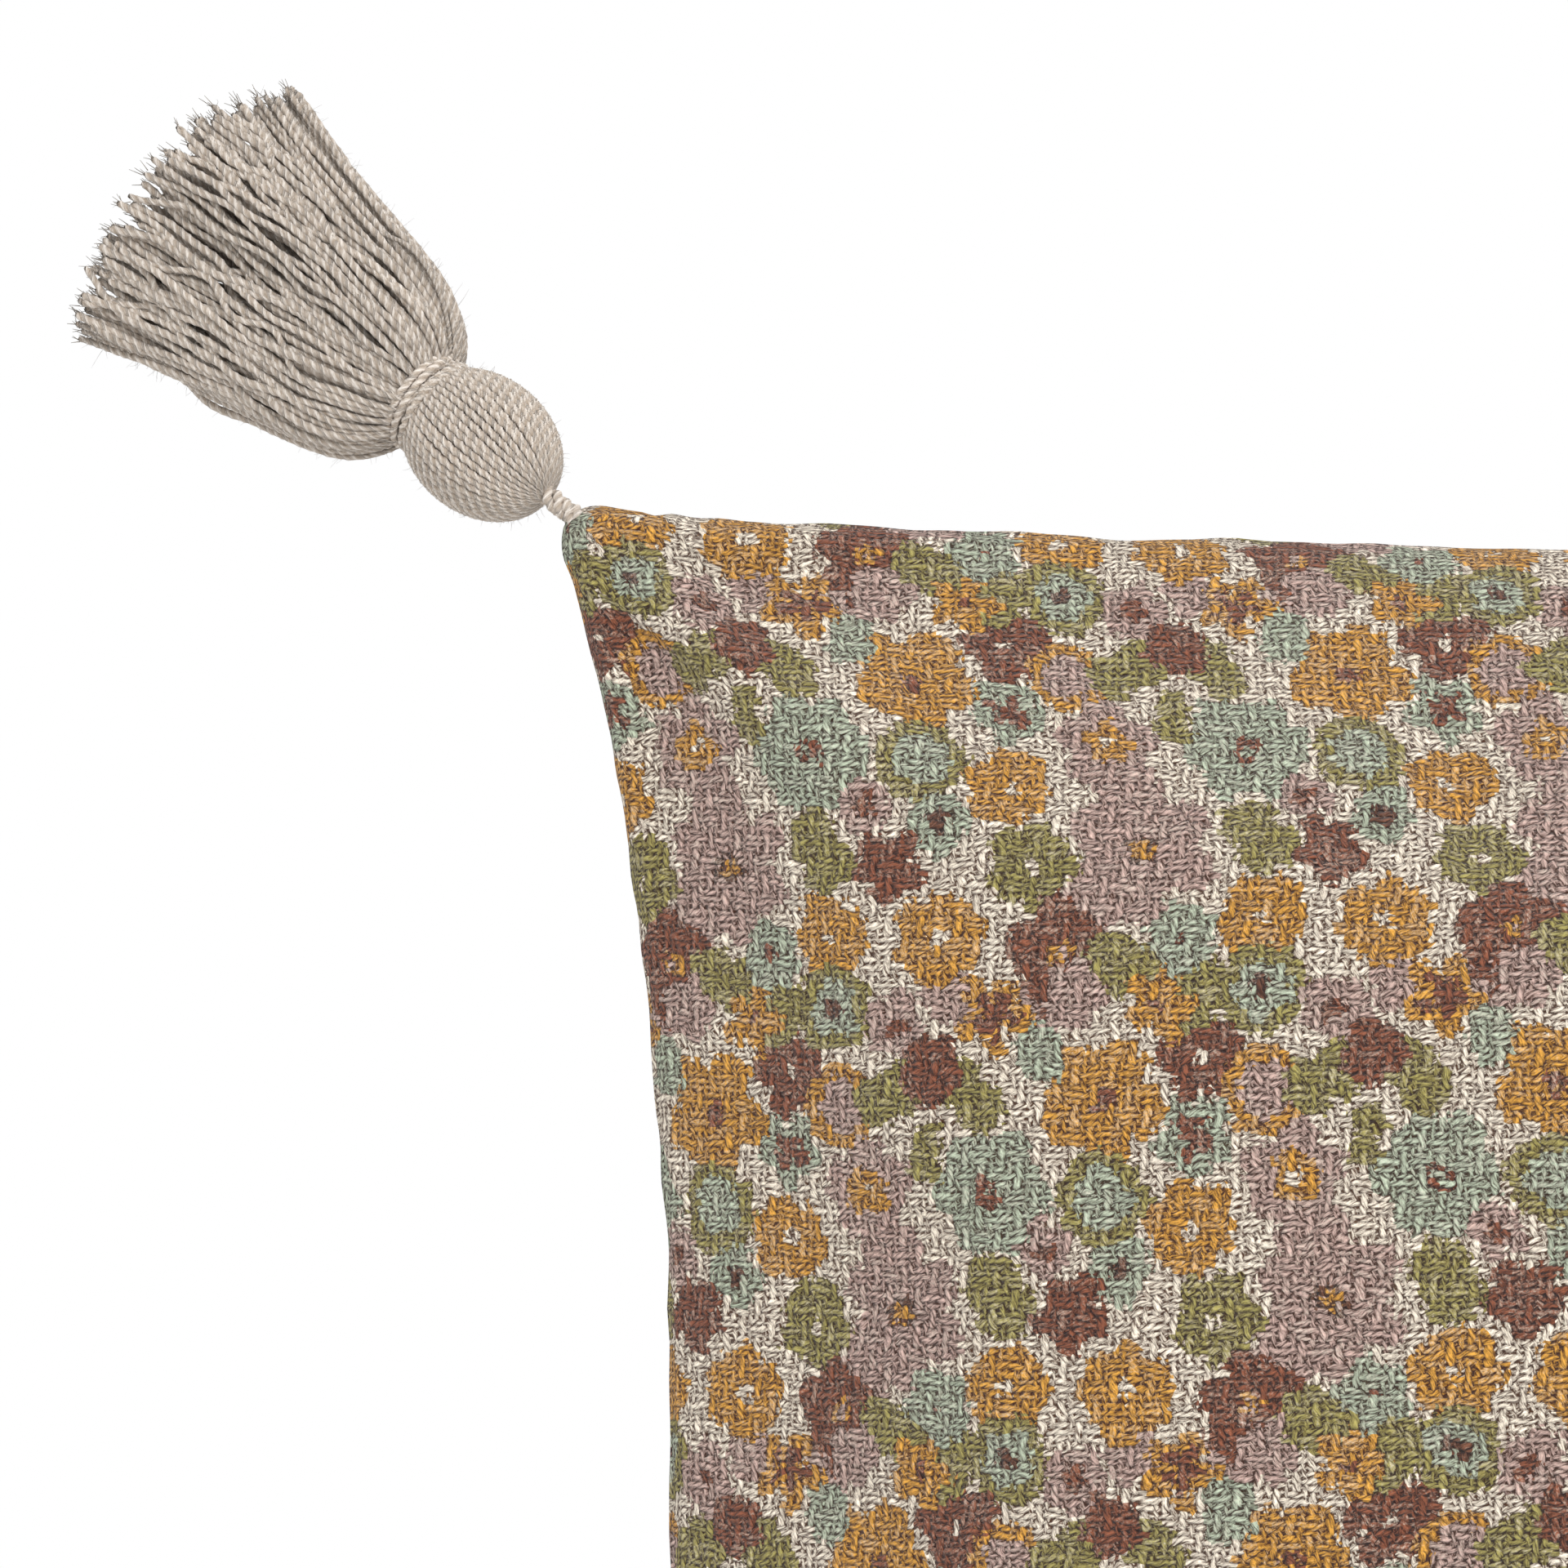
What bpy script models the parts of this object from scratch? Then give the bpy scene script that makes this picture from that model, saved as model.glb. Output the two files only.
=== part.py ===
"""A rectangular throw cushion with a cotton tassel on each corner.

Metres, +Z up. The cushion lies on its back panel: X runs along its length, Y across it, and
the origin is under its middle, on the surface that it lies on. Its top edge is at +Y and its
zip is in the bottom edge, at -Y.
"""

import math

import bmesh
import bpy
from mathutils import Vector

# Filled cover
HALF_LENGTH = 0.2950
HALF_WIDTH = 0.1935
THICKNESS = 0.125
SEAM_HEIGHT = 0.045
END_PULL = 0.022        # how far the short edges draw in between the corners
SIDE_PULL = 0.011       # and the long edges
EDGE_CURVE = 2.5
CORNER_NORM = 60        # the higher, the sharper the corners
CROWN_POWER = 0.6
BASE_SPREAD = 1.4       # above 1, the middle of the back panel is flat
STRAIGHT_PART = 0.72    # share of the bottom edge that the zip holds straight
GRID_X = 22
GRID_Y = 14
GAP = 0.0003

# Layers, as the drop below the outer skin and the inset from its seam
COVER_OUTSIDE = (0.0, 0.0)
COVER_INSIDE = (0.0012, 0.0025)
CASING_OUTSIDE = (0.0030, 0.0105)
CASING_INSIDE = (0.0040, 0.0125)
FILL_OUTSIDE = (0.0054, 0.0150)

# Zip, seen along X: depth is measured from the bottom edge into the cover
BOTTOM_EDGE = -(HALF_WIDTH - SIDE_PULL)
SLIT_HALF = 0.0009
SLIT_SHARE = 0.70       # of the bottom edge, where the two panels stand apart for the zip
TAPE_HALF_LENGTH = 0.1900
TAPE_DEPTH = (0.0066, 0.0071)
TAPE_RISE = (0.0009, 0.0058)
CHAIN_HALF_LENGTH = 0.1800
CHAIN_DEPTH = (0.0074, 0.0086)
CHAIN_RISE = (0.0008, 0.0024)
STOP_LENGTH = 0.0030
STOP_START = 0.1815
SLIDER_REST = 0.1760
SLIDER_HALF_LENGTH = 0.0045
SLIDER_HALF_HEIGHT = 0.0036
SLIDER_WALL = 0.0008
SLIDER_DEPTH = (0.0074, 0.0097)
BRIDGE_HALF_LENGTH = 0.0020
BRIDGE_HALF_HEIGHT = 0.0005
PIN_DEPTH = -0.0032
PIN_RADIUS = 0.0008
PIN_TOP = 0.0024
PIN_HEAD_RADIUS = 0.0014
PIN_HEAD_TOP = 0.0030
PULL_LENGTH = 0.0200
PULL_HALF_WIDTH = 0.0024
PULL_HOLE = 0.0011
PULL_RISE = (0.0008, 0.0021)

# Care label, inside the top edge
LABEL_SIZE = (0.0300, 0.0004, 0.0120)
LABEL_X = -0.0600
LABEL_DEPTH = 0.0060

# Tassels, measured along their own axis from the corner of the cover
TASSEL_AZIMUTH = math.radians(142)
TASSEL_SLOPE = math.radians(17)
CORD_RADIUS = 0.0020
CORD_LENGTH = 0.0010    # between the centres of its two round ends
HEAD_RADIUS = 0.0135
HEAD_LENGTH = 0.0250
HEAD_SWEEP = 140        # degrees of arc from the top of the head to the neck
BINDING_RADIUS = 0.0098
BINDING_LENGTH = 0.0060
BINDING_TURNS = 4
TURN_BULGE = 0.0006
SKIRT_LENGTH = 0.0660
SKIRT_SECTIONS = (      # share of the length, half width, half height
    (0.00, 0.0086, 0.0080),
    (0.08, 0.0135, 0.0110),
    (0.25, 0.0185, 0.0140),
    (0.55, 0.0235, 0.0150),
    (0.85, 0.0295, 0.0150),
    (1.00, 0.0315, 0.0142),
)
ROUND_STEPS = 16

CORNERS = {             # signs of the corner's X and Y
    "top_left": (-1, 1),
    "top_right": (1, 1),
    "bottom_left": (-1, -1),
    "bottom_right": (1, -1),
}

COLOURS = {             # red, green, blue, roughness, metallic
    "printed_cotton": (0.56, 0.47, 0.36, 0.95, 0.0),
    "printed_cotton_back": (0.52, 0.44, 0.34, 0.95, 0.0),
    "tassel_cotton": (0.55, 0.50, 0.43, 0.95, 0.0),
    "zip_tape": (0.62, 0.57, 0.48, 0.90, 0.0),
    "zip_teeth": (0.66, 0.62, 0.54, 0.45, 0.0),
    "zip_metal": (0.55, 0.50, 0.42, 0.35, 1.0),
    "casing": (0.82, 0.81, 0.78, 0.90, 0.0),
    "fill": (0.90, 0.90, 0.88, 1.00, 0.0),
    "label": (0.85, 0.84, 0.80, 0.80, 0.0),
}


def clear_scene():
    for old in list(bpy.data.objects):
        bpy.data.objects.remove(old, do_unlink=True)


def make_collection(name):
    collection = bpy.data.collections.new(name)
    bpy.context.scene.collection.children.link(collection)
    return collection


def material(name):
    found = bpy.data.materials.get(name)
    if found:
        return found
    red, green, blue, roughness, metallic = COLOURS[name]
    made = bpy.data.materials.new(name)
    made.use_nodes = True
    shader = made.node_tree.nodes["Principled BSDF"]
    shader.inputs["Base Color"].default_value = (red, green, blue, 1.0)
    shader.inputs["Roughness"].default_value = roughness
    shader.inputs["Metallic"].default_value = metallic
    made.diffuse_color = (red, green, blue, 1.0)
    return made


def add_object(name, data, collection, look=None):
    made = bpy.data.objects.new(name, data)
    collection.objects.link(made)
    if look:
        data.materials.append(material(look))
    return made


def object_from_bmesh(name, shape, collection, look=None):
    """An object from a closed shape, with its faces turned outwards."""
    mesh = bpy.data.meshes.new(name)
    bmesh.ops.recalc_face_normals(shape, faces=shape.faces)
    if shape.calc_volume(signed=True) < 0:
        bmesh.ops.reverse_faces(shape, faces=shape.faces)
    shape.to_mesh(mesh)
    shape.free()
    return add_object(name, mesh, collection, look)


def box(name, low, high, collection, look=None):
    """A box between two corners."""
    size = [b - a for a, b in zip(low, high)]
    middle = [(a + b) / 2 for a, b in zip(low, high)]
    shape = bmesh.new()
    bmesh.ops.create_cube(shape, size=1.0)
    bmesh.ops.scale(shape, vec=size, verts=shape.verts)
    bmesh.ops.translate(shape, vec=middle, verts=shape.verts)
    return object_from_bmesh(name, shape, collection, look)


def upright_cylinder(name, radius, bottom, top, place, collection):
    shape = bmesh.new()
    bmesh.ops.create_cone(
        shape, cap_ends=True, segments=12, radius1=radius, radius2=radius, depth=top - bottom
    )
    middle = (place[0], place[1], (bottom + top) / 2)
    bmesh.ops.translate(shape, vec=middle, verts=shape.verts)
    return object_from_bmesh(name, shape, collection)


def join(piece, tool):
    """Make one solid of a piece and a tool that stays out of the model."""
    tool.hide_render = True
    tool.display_type = "WIRE"
    union = piece.modifiers.new("join", "BOOLEAN")
    union.operation = "UNION"
    union.solver = "EXACT"
    union.object = tool


# ---- cover and insert ---------------------------------------------------------------------

def side_pull(u, v):
    """How far a long edge is drawn in at u; the zip keeps the bottom one straight."""
    if v >= 0:
        return SIDE_PULL * (1 - abs(u) ** EDGE_CURVE)
    share = min(1.0, (1 - abs(u)) / (1 - STRAIGHT_PART))
    return SIDE_PULL * share * share * (3 - 2 * share)


def outline(u, v, inset):
    """Plan position of a point of the panel, for u and v from -1 to 1."""
    largest = max(abs(u), abs(v), 0.01)
    norm = (abs(u) / largest) ** CORNER_NORM + (abs(v) / largest) ** CORNER_NORM
    rounding = max(1.0, norm) ** (1 / CORNER_NORM)
    length = HALF_LENGTH - inset - END_PULL * (1 - abs(v) ** EDGE_CURVE)
    width = HALF_WIDTH - inset - side_pull(u, v)
    return u / rounding * length, v / rounding * width


def crown(u, v):
    """Share of the full height at u and v: 0 on the seam and 1 in the middle."""
    return ((1 - u * u) * (1 - v * v)) ** CROWN_POWER


def spread(index, count):
    """Grid line positions from -1 to 1, closer together near the seam."""
    return math.sin(math.pi / 2 * (2 * index / count - 1))


def sheet_height(side, u, v, drop):
    """Height of a front or back sheet, which stays half a gap off the seam plane."""
    in_zip = v < 0 and abs(u) < SLIT_SHARE
    opening = (SLIT_HALF - GAP / 2) * -v if in_zip else 0.0
    edge = GAP / 2 + opening
    if side == "front":
        return SEAM_HEIGHT + edge + (THICKNESS - SEAM_HEIGHT - drop - edge) * crown(u, v)
    fullness = min(1.0, BASE_SPREAD * crown(u, v))
    return SEAM_HEIGHT - edge - (SEAM_HEIGHT - drop - edge) * fullness


def seam_ring():
    """Grid places along the seam, in order round the cushion."""
    bottom = [(i, 0) for i in range(GRID_X)]
    right = [(GRID_X, j) for j in range(GRID_Y)]
    top = [(i, GRID_Y) for i in range(GRID_X, 0, -1)]
    left = [(0, j) for j in range(GRID_Y, 0, -1)]
    return bottom + right + top + left


def soft_solid(name, sheets, parts, look):
    """The closed solid between two sheets, each a side and a layer, joined along the seam."""
    shape = bmesh.new()
    grids = []
    for side, (drop, inset) in sheets:
        grid = {}
        for i in range(GRID_X + 1):
            for j in range(GRID_Y + 1):
                u = spread(i, GRID_X)
                v = spread(j, GRID_Y)
                x, y = outline(u, v, inset)
                grid[i, j] = shape.verts.new((x, y, sheet_height(side, u, v, drop)))
        for i in range(GRID_X):
            for j in range(GRID_Y):
                ring = [(i, j), (i + 1, j), (i + 1, j + 1), (i, j + 1)]
                shape.faces.new([grid[place] for place in ring])
        grids.append(grid)
    ring = seam_ring()
    first, second = grids
    for near, far in zip(ring, ring[1:] + ring[:1]):
        shape.faces.new((first[near], first[far], second[far], second[near]))
    solid = object_from_bmesh(name, shape, parts, look)
    solid.data.shade_smooth()
    solid.data.set_sharp_from_angle(angle=math.radians(60))


def make_cover_and_insert(parts):
    for side, look in (("front", "printed_cotton"), ("back", "printed_cotton_back")):
        cover = ((side, COVER_OUTSIDE), (side, COVER_INSIDE))
        casing = ((side, CASING_OUTSIDE), (side, CASING_INSIDE))
        soft_solid(f"cover_{side}", cover, parts, look)
        soft_solid(f"insert_casing_{side}", casing, parts, "casing")
    fill = (("front", FILL_OUTSIDE), ("back", FILL_OUTSIDE))
    soft_solid("insert_fill", fill, parts, "fill")


def make_label(parts):
    width, thickness, height = LABEL_SIZE
    y = HALF_WIDTH - SIDE_PULL - LABEL_DEPTH
    low = (LABEL_X - width / 2, y - thickness, SEAM_HEIGHT - height / 2)
    high = (LABEL_X + width / 2, y, SEAM_HEIGHT + height / 2)
    box("care_label", low, high, parts, "label")


# ---- zip ----------------------------------------------------------------------------------

def zip_strip(name, half_length, depth, rise, side, parts, look):
    """A strip along the zip; side is 1 above the seam plane and -1 below it."""
    heights = sorted((SEAM_HEIGHT + side * rise[0], SEAM_HEIGHT + side * rise[1]))
    low = (-half_length, BOTTOM_EDGE + depth[0], heights[0])
    high = (half_length, BOTTOM_EDGE + depth[1], heights[1])
    return box(name, low, high, parts, look)


def make_zip_stop(name, side, parts):
    ends = sorted((side * STOP_START, side * (STOP_START + STOP_LENGTH)))
    low = (ends[0], BOTTOM_EDGE + CHAIN_DEPTH[0], SEAM_HEIGHT - CHAIN_RISE[1])
    high = (ends[1], BOTTOM_EDGE + CHAIN_DEPTH[1], SEAM_HEIGHT + CHAIN_RISE[1])
    box(name, low, high, parts, "zip_metal")


def make_slider(parts, tools):
    """A back plate with two lips round the teeth, and a bridge out to the pull's pin."""
    x0, x1 = SLIDER_REST - SLIDER_HALF_LENGTH, SLIDER_REST + SLIDER_HALF_LENGTH
    inner, outer = BOTTOM_EDGE + SLIDER_DEPTH[1], BOTTOM_EDGE + SLIDER_DEPTH[0]
    slider = box(
        "zip_slider",
        (x0, inner - SLIDER_WALL, SEAM_HEIGHT - SLIDER_HALF_HEIGHT),
        (x1, inner, SEAM_HEIGHT + SLIDER_HALF_HEIGHT),
        parts,
        "zip_metal",
    )
    for side in (-1, 1):
        edges = (SLIDER_HALF_HEIGHT - SLIDER_WALL, SLIDER_HALF_HEIGHT)
        heights = sorted(SEAM_HEIGHT + side * edge for edge in edges)
        lip = box(
            f"slider_lip_{side}",
            (x0, outer, heights[0]),
            (x1, inner - SLIDER_WALL / 2, heights[1]),
            tools,
        )
        join(slider, lip)
    pin_y = BOTTOM_EDGE + PIN_DEPTH
    bridge = box(
        "slider_bridge",
        (SLIDER_REST - BRIDGE_HALF_LENGTH, pin_y - PIN_HEAD_RADIUS, SEAM_HEIGHT - BRIDGE_HALF_HEIGHT),
        (SLIDER_REST + BRIDGE_HALF_LENGTH, inner - SLIDER_WALL / 2, SEAM_HEIGHT + BRIDGE_HALF_HEIGHT),
        tools,
    )
    join(slider, bridge)
    place = (SLIDER_REST, pin_y)
    neck = SEAM_HEIGHT + PIN_TOP
    top = SEAM_HEIGHT + PIN_HEAD_TOP
    pin = upright_cylinder("slider_pin", PIN_RADIUS, SEAM_HEIGHT, (neck + top) / 2, place, tools)
    head = upright_cylinder("slider_pin_head", PIN_HEAD_RADIUS, neck, top, place, tools)
    join(slider, pin)
    join(slider, head)


def closed_spline(curve, points):
    spline = curve.splines.new("POLY")
    spline.points.add(len(points) - 1)
    for point, (x, y) in zip(spline.points, points):
        point.co = (x, y, 0.0, 1.0)
    spline.use_cyclic_u = True


def arc(centre_x, radius, start, end, steps):
    """Points of an arc about (centre_x, 0), with angles in degrees."""
    angles = [math.radians(start + (end - start) * k / steps) for k in range(steps + 1)]
    return [(centre_x + radius * math.cos(a), radius * math.sin(a)) for a in angles]


def make_zip_pull(parts):
    """A flat tab with round ends, whose hole sits on the slider's pin. It lies towards -X."""
    curve = bpy.data.curves.new("zip_pull", "CURVE")
    curve.dimensions = "2D"
    curve.fill_mode = "BOTH"
    curve.extrude = (PULL_RISE[1] - PULL_RISE[0]) / 2
    reach = PULL_LENGTH - 2 * PULL_HALF_WIDTH
    outside = arc(0.0, PULL_HALF_WIDTH, -90, 90, 8) + arc(-reach, PULL_HALF_WIDTH, 90, 270, 8)
    closed_spline(curve, outside)
    closed_spline(curve, arc(0.0, PULL_HOLE, 0, 330, 11))
    pull = add_object("zip_pull", curve, parts, "zip_metal")
    height = SEAM_HEIGHT + (PULL_RISE[0] + PULL_RISE[1]) / 2
    pull.location = (SLIDER_REST, BOTTOM_EDGE + PIN_DEPTH, height)


def make_zip(parts, tools):
    for half, side in (("front", 1), ("back", -1)):
        zip_strip(f"zip_tape_{half}", TAPE_HALF_LENGTH, TAPE_DEPTH, TAPE_RISE, side, parts, "zip_tape")
        zip_strip(
            f"zip_chain_{half}", CHAIN_HALF_LENGTH, CHAIN_DEPTH, CHAIN_RISE, side, parts, "zip_teeth"
        )
    make_zip_stop("zip_top_stop", 1, parts)
    make_zip_stop("zip_bottom_stop", -1, parts)
    make_slider(parts, tools)
    make_zip_pull(parts)


# ---- tassels ------------------------------------------------------------------------------

def turned(name, profile, collection, look):
    """A solid of revolution about X from (distance, radius) points that start and end on X."""
    mesh = bpy.data.meshes.new(name)
    points = [(distance, 0.0, radius) for distance, radius in profile]
    mesh.from_pydata(points, [(k, k + 1) for k in range(len(points) - 1)], [])
    made = add_object(name, mesh, collection, look)
    screw = made.modifiers.new("turn", "SCREW")
    screw.axis = "X"
    screw.steps = ROUND_STEPS
    screw.render_steps = ROUND_STEPS
    screw.use_merge_vertices = True
    screw.merge_threshold = 0.00001
    screw.use_normal_calculate = True
    return made


def capsule_profile(start, length):
    """Round-ended rod whose end centres are start and start + length."""
    steps = 3
    angles = [math.pi / 2 * k / steps for k in range(steps + 1)]
    first = [(start - CORD_RADIUS * math.cos(a), CORD_RADIUS * math.sin(a)) for a in angles]
    last = [(2 * start + length - distance, radius) for distance, radius in reversed(first)]
    return first + last


def head_profile(start):
    """An egg-shaped knot that narrows to the neck and ends in a flat face there."""
    steps = 9
    neck = math.radians(HEAD_SWEEP)
    points = []
    for k in range(steps + 1):
        angle = neck * k / steps
        share = (1 - math.cos(angle)) / (1 - math.cos(neck))
        points.append((start + HEAD_LENGTH * share, HEAD_RADIUS * math.sin(angle)))
    return points + [(start + HEAD_LENGTH, 0.0)]


def binding_profile(start):
    """Turns of yarn side by side, as a rippled ring with flat ends."""
    points = [(start, 0.0)]
    steps = BINDING_TURNS * 2
    for k in range(steps + 1):
        ripple = TURN_BULGE * abs(math.sin(math.pi * k * BINDING_TURNS / steps))
        points.append((start + BINDING_LENGTH * k / steps, BINDING_RADIUS - TURN_BULGE + ripple))
    return points + [(start + BINDING_LENGTH, 0.0)]


def skirt(name, start, collection, look):
    """A loft through oval sections, wider than it is high, with flat ends."""
    shape = bmesh.new()
    rings = []
    for share, half_width, half_height in SKIRT_SECTIONS:
        ring = []
        for k in range(ROUND_STEPS):
            angle = 2 * math.pi * k / ROUND_STEPS
            y, z = half_width * math.cos(angle), half_height * math.sin(angle)
            ring.append(shape.verts.new((start + SKIRT_LENGTH * share, y, z)))
        rings.append(ring)
    for near, far in zip(rings, rings[1:]):
        for k in range(ROUND_STEPS):
            after = (k + 1) % ROUND_STEPS
            shape.faces.new((near[k], near[after], far[after], far[k]))
    shape.faces.new(rings[0])
    shape.faces.new(rings[-1])
    return object_from_bmesh(name, shape, collection, look)


def make_tassel(corner, signs, parts):
    """Cord, head, binding and skirt on an empty at the cover's corner, X pointing away."""
    tip_x, tip_y = outline(1.0, 1.0, 0.0)
    holder = bpy.data.objects.new(f"tassel_{corner}", None)
    parts.objects.link(holder)
    direction = Vector((math.cos(TASSEL_AZIMUTH) * -signs[0], math.sin(TASSEL_AZIMUTH) * signs[1]))
    holder.location = (signs[0] * tip_x, signs[1] * tip_y, SEAM_HEIGHT)
    holder.rotation_euler = (0.0, TASSEL_SLOPE, math.atan2(direction.y, direction.x))
    cord_start = GAP + CORD_RADIUS
    head_start = cord_start + CORD_LENGTH + CORD_RADIUS + GAP
    binding_start = head_start + HEAD_LENGTH + GAP
    skirt_start = binding_start + BINDING_LENGTH + GAP
    look = "tassel_cotton"
    pieces = [
        turned(f"tassel_cord_{corner}", capsule_profile(cord_start, CORD_LENGTH), parts, look),
        turned(f"tassel_head_{corner}", head_profile(head_start), parts, look),
        turned(f"tassel_binding_{corner}", binding_profile(binding_start), parts, look),
        skirt(f"tassel_skirt_{corner}", skirt_start, parts, look),
    ]
    for piece in pieces:
        piece.parent = holder
        if piece.data.polygons:
            piece.data.shade_smooth()


def main():
    clear_scene()
    parts = make_collection("throw_pillow")
    tools = make_collection("cutters")
    make_cover_and_insert(parts)
    make_label(parts)
    make_zip(parts, tools)
    for corner, signs in CORNERS.items():
        make_tassel(corner, signs, parts)


main()
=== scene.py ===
"""The looks of the tasselled throw cushion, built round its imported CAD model.

The cover is a pressurised cloth with a procedural print and weave, and the tassels are bundles
of twisted yarn. The zip and the care label are the CAD solids in procedural materials. Lengths
are in metres, but in millimetres along a tassel and inside the cloth and yarn materials.
"""

import math

import bpy
import numpy as np
from mathutils import Matrix, Vector, noise


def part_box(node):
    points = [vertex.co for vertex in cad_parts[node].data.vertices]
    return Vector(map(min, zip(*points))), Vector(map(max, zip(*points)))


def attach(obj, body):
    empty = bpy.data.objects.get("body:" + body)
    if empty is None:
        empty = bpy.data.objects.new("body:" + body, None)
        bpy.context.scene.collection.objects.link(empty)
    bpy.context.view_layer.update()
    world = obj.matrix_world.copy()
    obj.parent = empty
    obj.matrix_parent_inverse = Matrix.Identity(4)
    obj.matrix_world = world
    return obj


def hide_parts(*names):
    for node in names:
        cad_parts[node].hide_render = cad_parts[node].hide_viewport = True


MM = 0.001

# Cover: the form of the CAD panels, with a top edge that bows in less
END_PULL = 22 * MM
TOP_PULL = 8 * MM
SIDE_PULL = 11 * MM
EDGE_CURVE = 2.5
CORNER_RADIUS = 12 * MM
ROUND_LOSS_X = 2.3 * MM   # the rounded corners keep the box this far inside the form
ROUND_LOSS_Y = 1.1 * MM
CROWN_POWER = 0.6
BASE_SPREAD = 1.4
STRAIGHT_PART = 0.72
CELLS_X = 120
CELLS_Y = 80
REFINE = 2
SLIT_HALF = 0.9 * MM
SLIT_SHARE = 0.70
LIP_DEPTHS = (1.2 * MM, 3.6 * MM, 6.3 * MM)
SEAM_ROOM = 6.5 * MM
CASING_SCALE = (0.962, 0.940, 0.955)
FILL_SCALE = (0.950, 0.925, 0.935)

# Waves of the cover: puckers at the seam, lumps of the filling, and the sway of the seam
WAVE_HEIGHT = 1.6 * MM
PUCKER_SIZE = 14 * MM
PUCKER_FADE = 16 * MM
LUMP_SIZE = 60 * MM
LUMP_START = 25 * MM
REST_FADE = 10 * MM       # above the floor, within which the waves die out
LONG_SWAY = 32 * MM
SHORT_SWAY = 9 * MM
SEAM_SWAY = (0.9 * MM, 0.9 * MM, 1.3 * MM)

# Cloth simulation
PRESSURE = 4.0
FRAMES = 20
EXCESS = 0.014          # spare cloth that puckers along the seams
MOST_SHIFT = 7 * MM     # of a point by the simulation, away from the seam
EDGE_SHIFT = 1.8 * MM   # and on the seam
SHIFT_GROWTH = 40 * MM  # from the seam to where the most is reached

# Weave, in millimetres
END_PITCH = 1.61
PICK_PITCH = 1.23
PLY_PITCH = 1.75
PLY_LAY = 1.1
WARP_LEAN = 0.06
YARN_SWAY = ((0.12, 2.4), (0.42, 1.1))   # scale of the noise and its reach
INK_SCATTER = 1.7
CELL_INK = 0.55         # share of a float's ink place that its crossing decides
FRONT_PLACE = (7.6, -15.9, 0.0)          # of each panel's middle on the print
BACK_PLACE = (31.0, 17.0, 0.0)

CORNERS = {
    "top_left": (-1, 1),
    "top_right": (1, 1),
    "bottom_left": (-1, -1),
    "bottom_right": (1, -1),
}

# Tassels: the axis leaves the corner of the cover, and places on it are in millimetres
TASSEL_AZIMUTH = math.radians(142)
TASSEL_SLOPE = math.radians(17)
TIP_INSET = 1.1 * MM    # of the cover's corner from the corner of its box
HEAD_SPAN = (5.0, 32.2)
NECK_SPAN = (30.6, 38.0)
SKIRT_SPAN = (37.2, 103.2)
STRANDS_PER_LOCK = 6
HEAD_RADIUS = 13.0
HEAD_SWEEP = 133
NECK_RADIUS = 9.9
YARN_TURN = 4.2         # millimetres of yarn to a full turn of its plies
YARN_SIDES = 6
LOOP_TURN = 2.4
CORD_TURN = 3.0
CORD_SIDES = 8
FIBRE_TURN = 50.0
FIBRE_SIDES = 3
PLY_DENT = 0.20
FUZZ_RADIUS = 0.045

# Layers of the skirt: strands, least and most depth as shares of its form, points to a strand
OUTER_LAYER = (134, 0.87, 1.0, 100)
INNER_LAYER = (110, 0.66, 0.86, 90)
MIDDLE_LAYER = (64, 0.08, 0.66, 50)
STRAY_LAYER = (22, 1.0, 1.05, 90)
HEAD_YARNS = 54
NECK_TURNS = 9
CORD_SPAN = (-1.2, 8.0)     # of the part that moves with the cord's body
ROOT_SPAN = (-6.5, 0.9)     # of the part that stays on the cover
CORD_LAY = 7.5

BACKDROP = 1.0          # brightness of the world and of the floor
VIEW_WIDTH = 0.287
VIEW_CENTRE = (39.6 * MM, -50.0 * MM)   # from the cover's top left corner

# Lights: name, place, target, size and watts
LIGHTS = (
    ("key", (0.2, 1.35, 1.85), (-0.2, 0.1, 0.0), 1.2, 22),
    ("fill", (1.4, -0.6, 1.6), (-0.1, 0.0, 0.0), 1.6, 5),
)


# ---- node arithmetic ----

def operator(operation):
    """A method that joins two fields by an operation of the Math node."""
    return lambda field, other: field.apply(operation, other)


class Field:
    """A number over a surface, made of Math nodes by ordinary arithmetic."""

    def __init__(self, tree, socket):
        self.tree = tree
        self.socket = socket

    def apply(self, operation, *others):
        node = self.tree.nodes.new("ShaderNodeMath")
        node.operation = operation
        for slot, value in zip(node.inputs, (self,) + others):
            plug(self.tree, slot, value)
        return Field(self.tree, node.outputs[0])

    __add__ = operator("ADD")
    __sub__ = operator("SUBTRACT")
    __mul__ = operator("MULTIPLY")
    __truediv__ = operator("DIVIDE")
    __mod__ = operator("FLOORED_MODULO")
    __lt__ = operator("LESS_THAN")

    def between(self, low, high):
        """0 below low, 1 above high and a smooth step between them."""
        node = self.tree.nodes.new("ShaderNodeMapRange")
        node.interpolation_type = "SMOOTHSTEP"
        plug(self.tree, node.inputs["Value"], self)
        plug(self.tree, node.inputs["From Min"], low)
        plug(self.tree, node.inputs["From Max"], high)
        return Field(self.tree, node.outputs[0])


def plug(tree, slot, value):
    """Feed an input from a field, from an output or with a plain value."""
    if isinstance(value, Field):
        tree.links.new(value.socket, slot)
    elif isinstance(value, bpy.types.NodeSocket):
        tree.links.new(value, slot)
    else:
        slot.default_value = value


def set_values(node, **values):
    """Constants on a node's own inputs; an underscore stands for a space."""
    for name, value in values.items():
        node.inputs[name.replace("_", " ")].default_value = value


def blend_fields(share, first, second):
    return (second - first) * share + first


def split(tree, socket):
    node = tree.nodes.new("ShaderNodeSeparateXYZ")
    tree.links.new(socket, node.inputs[0])
    return [Field(tree, output) for output in node.outputs]


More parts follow.
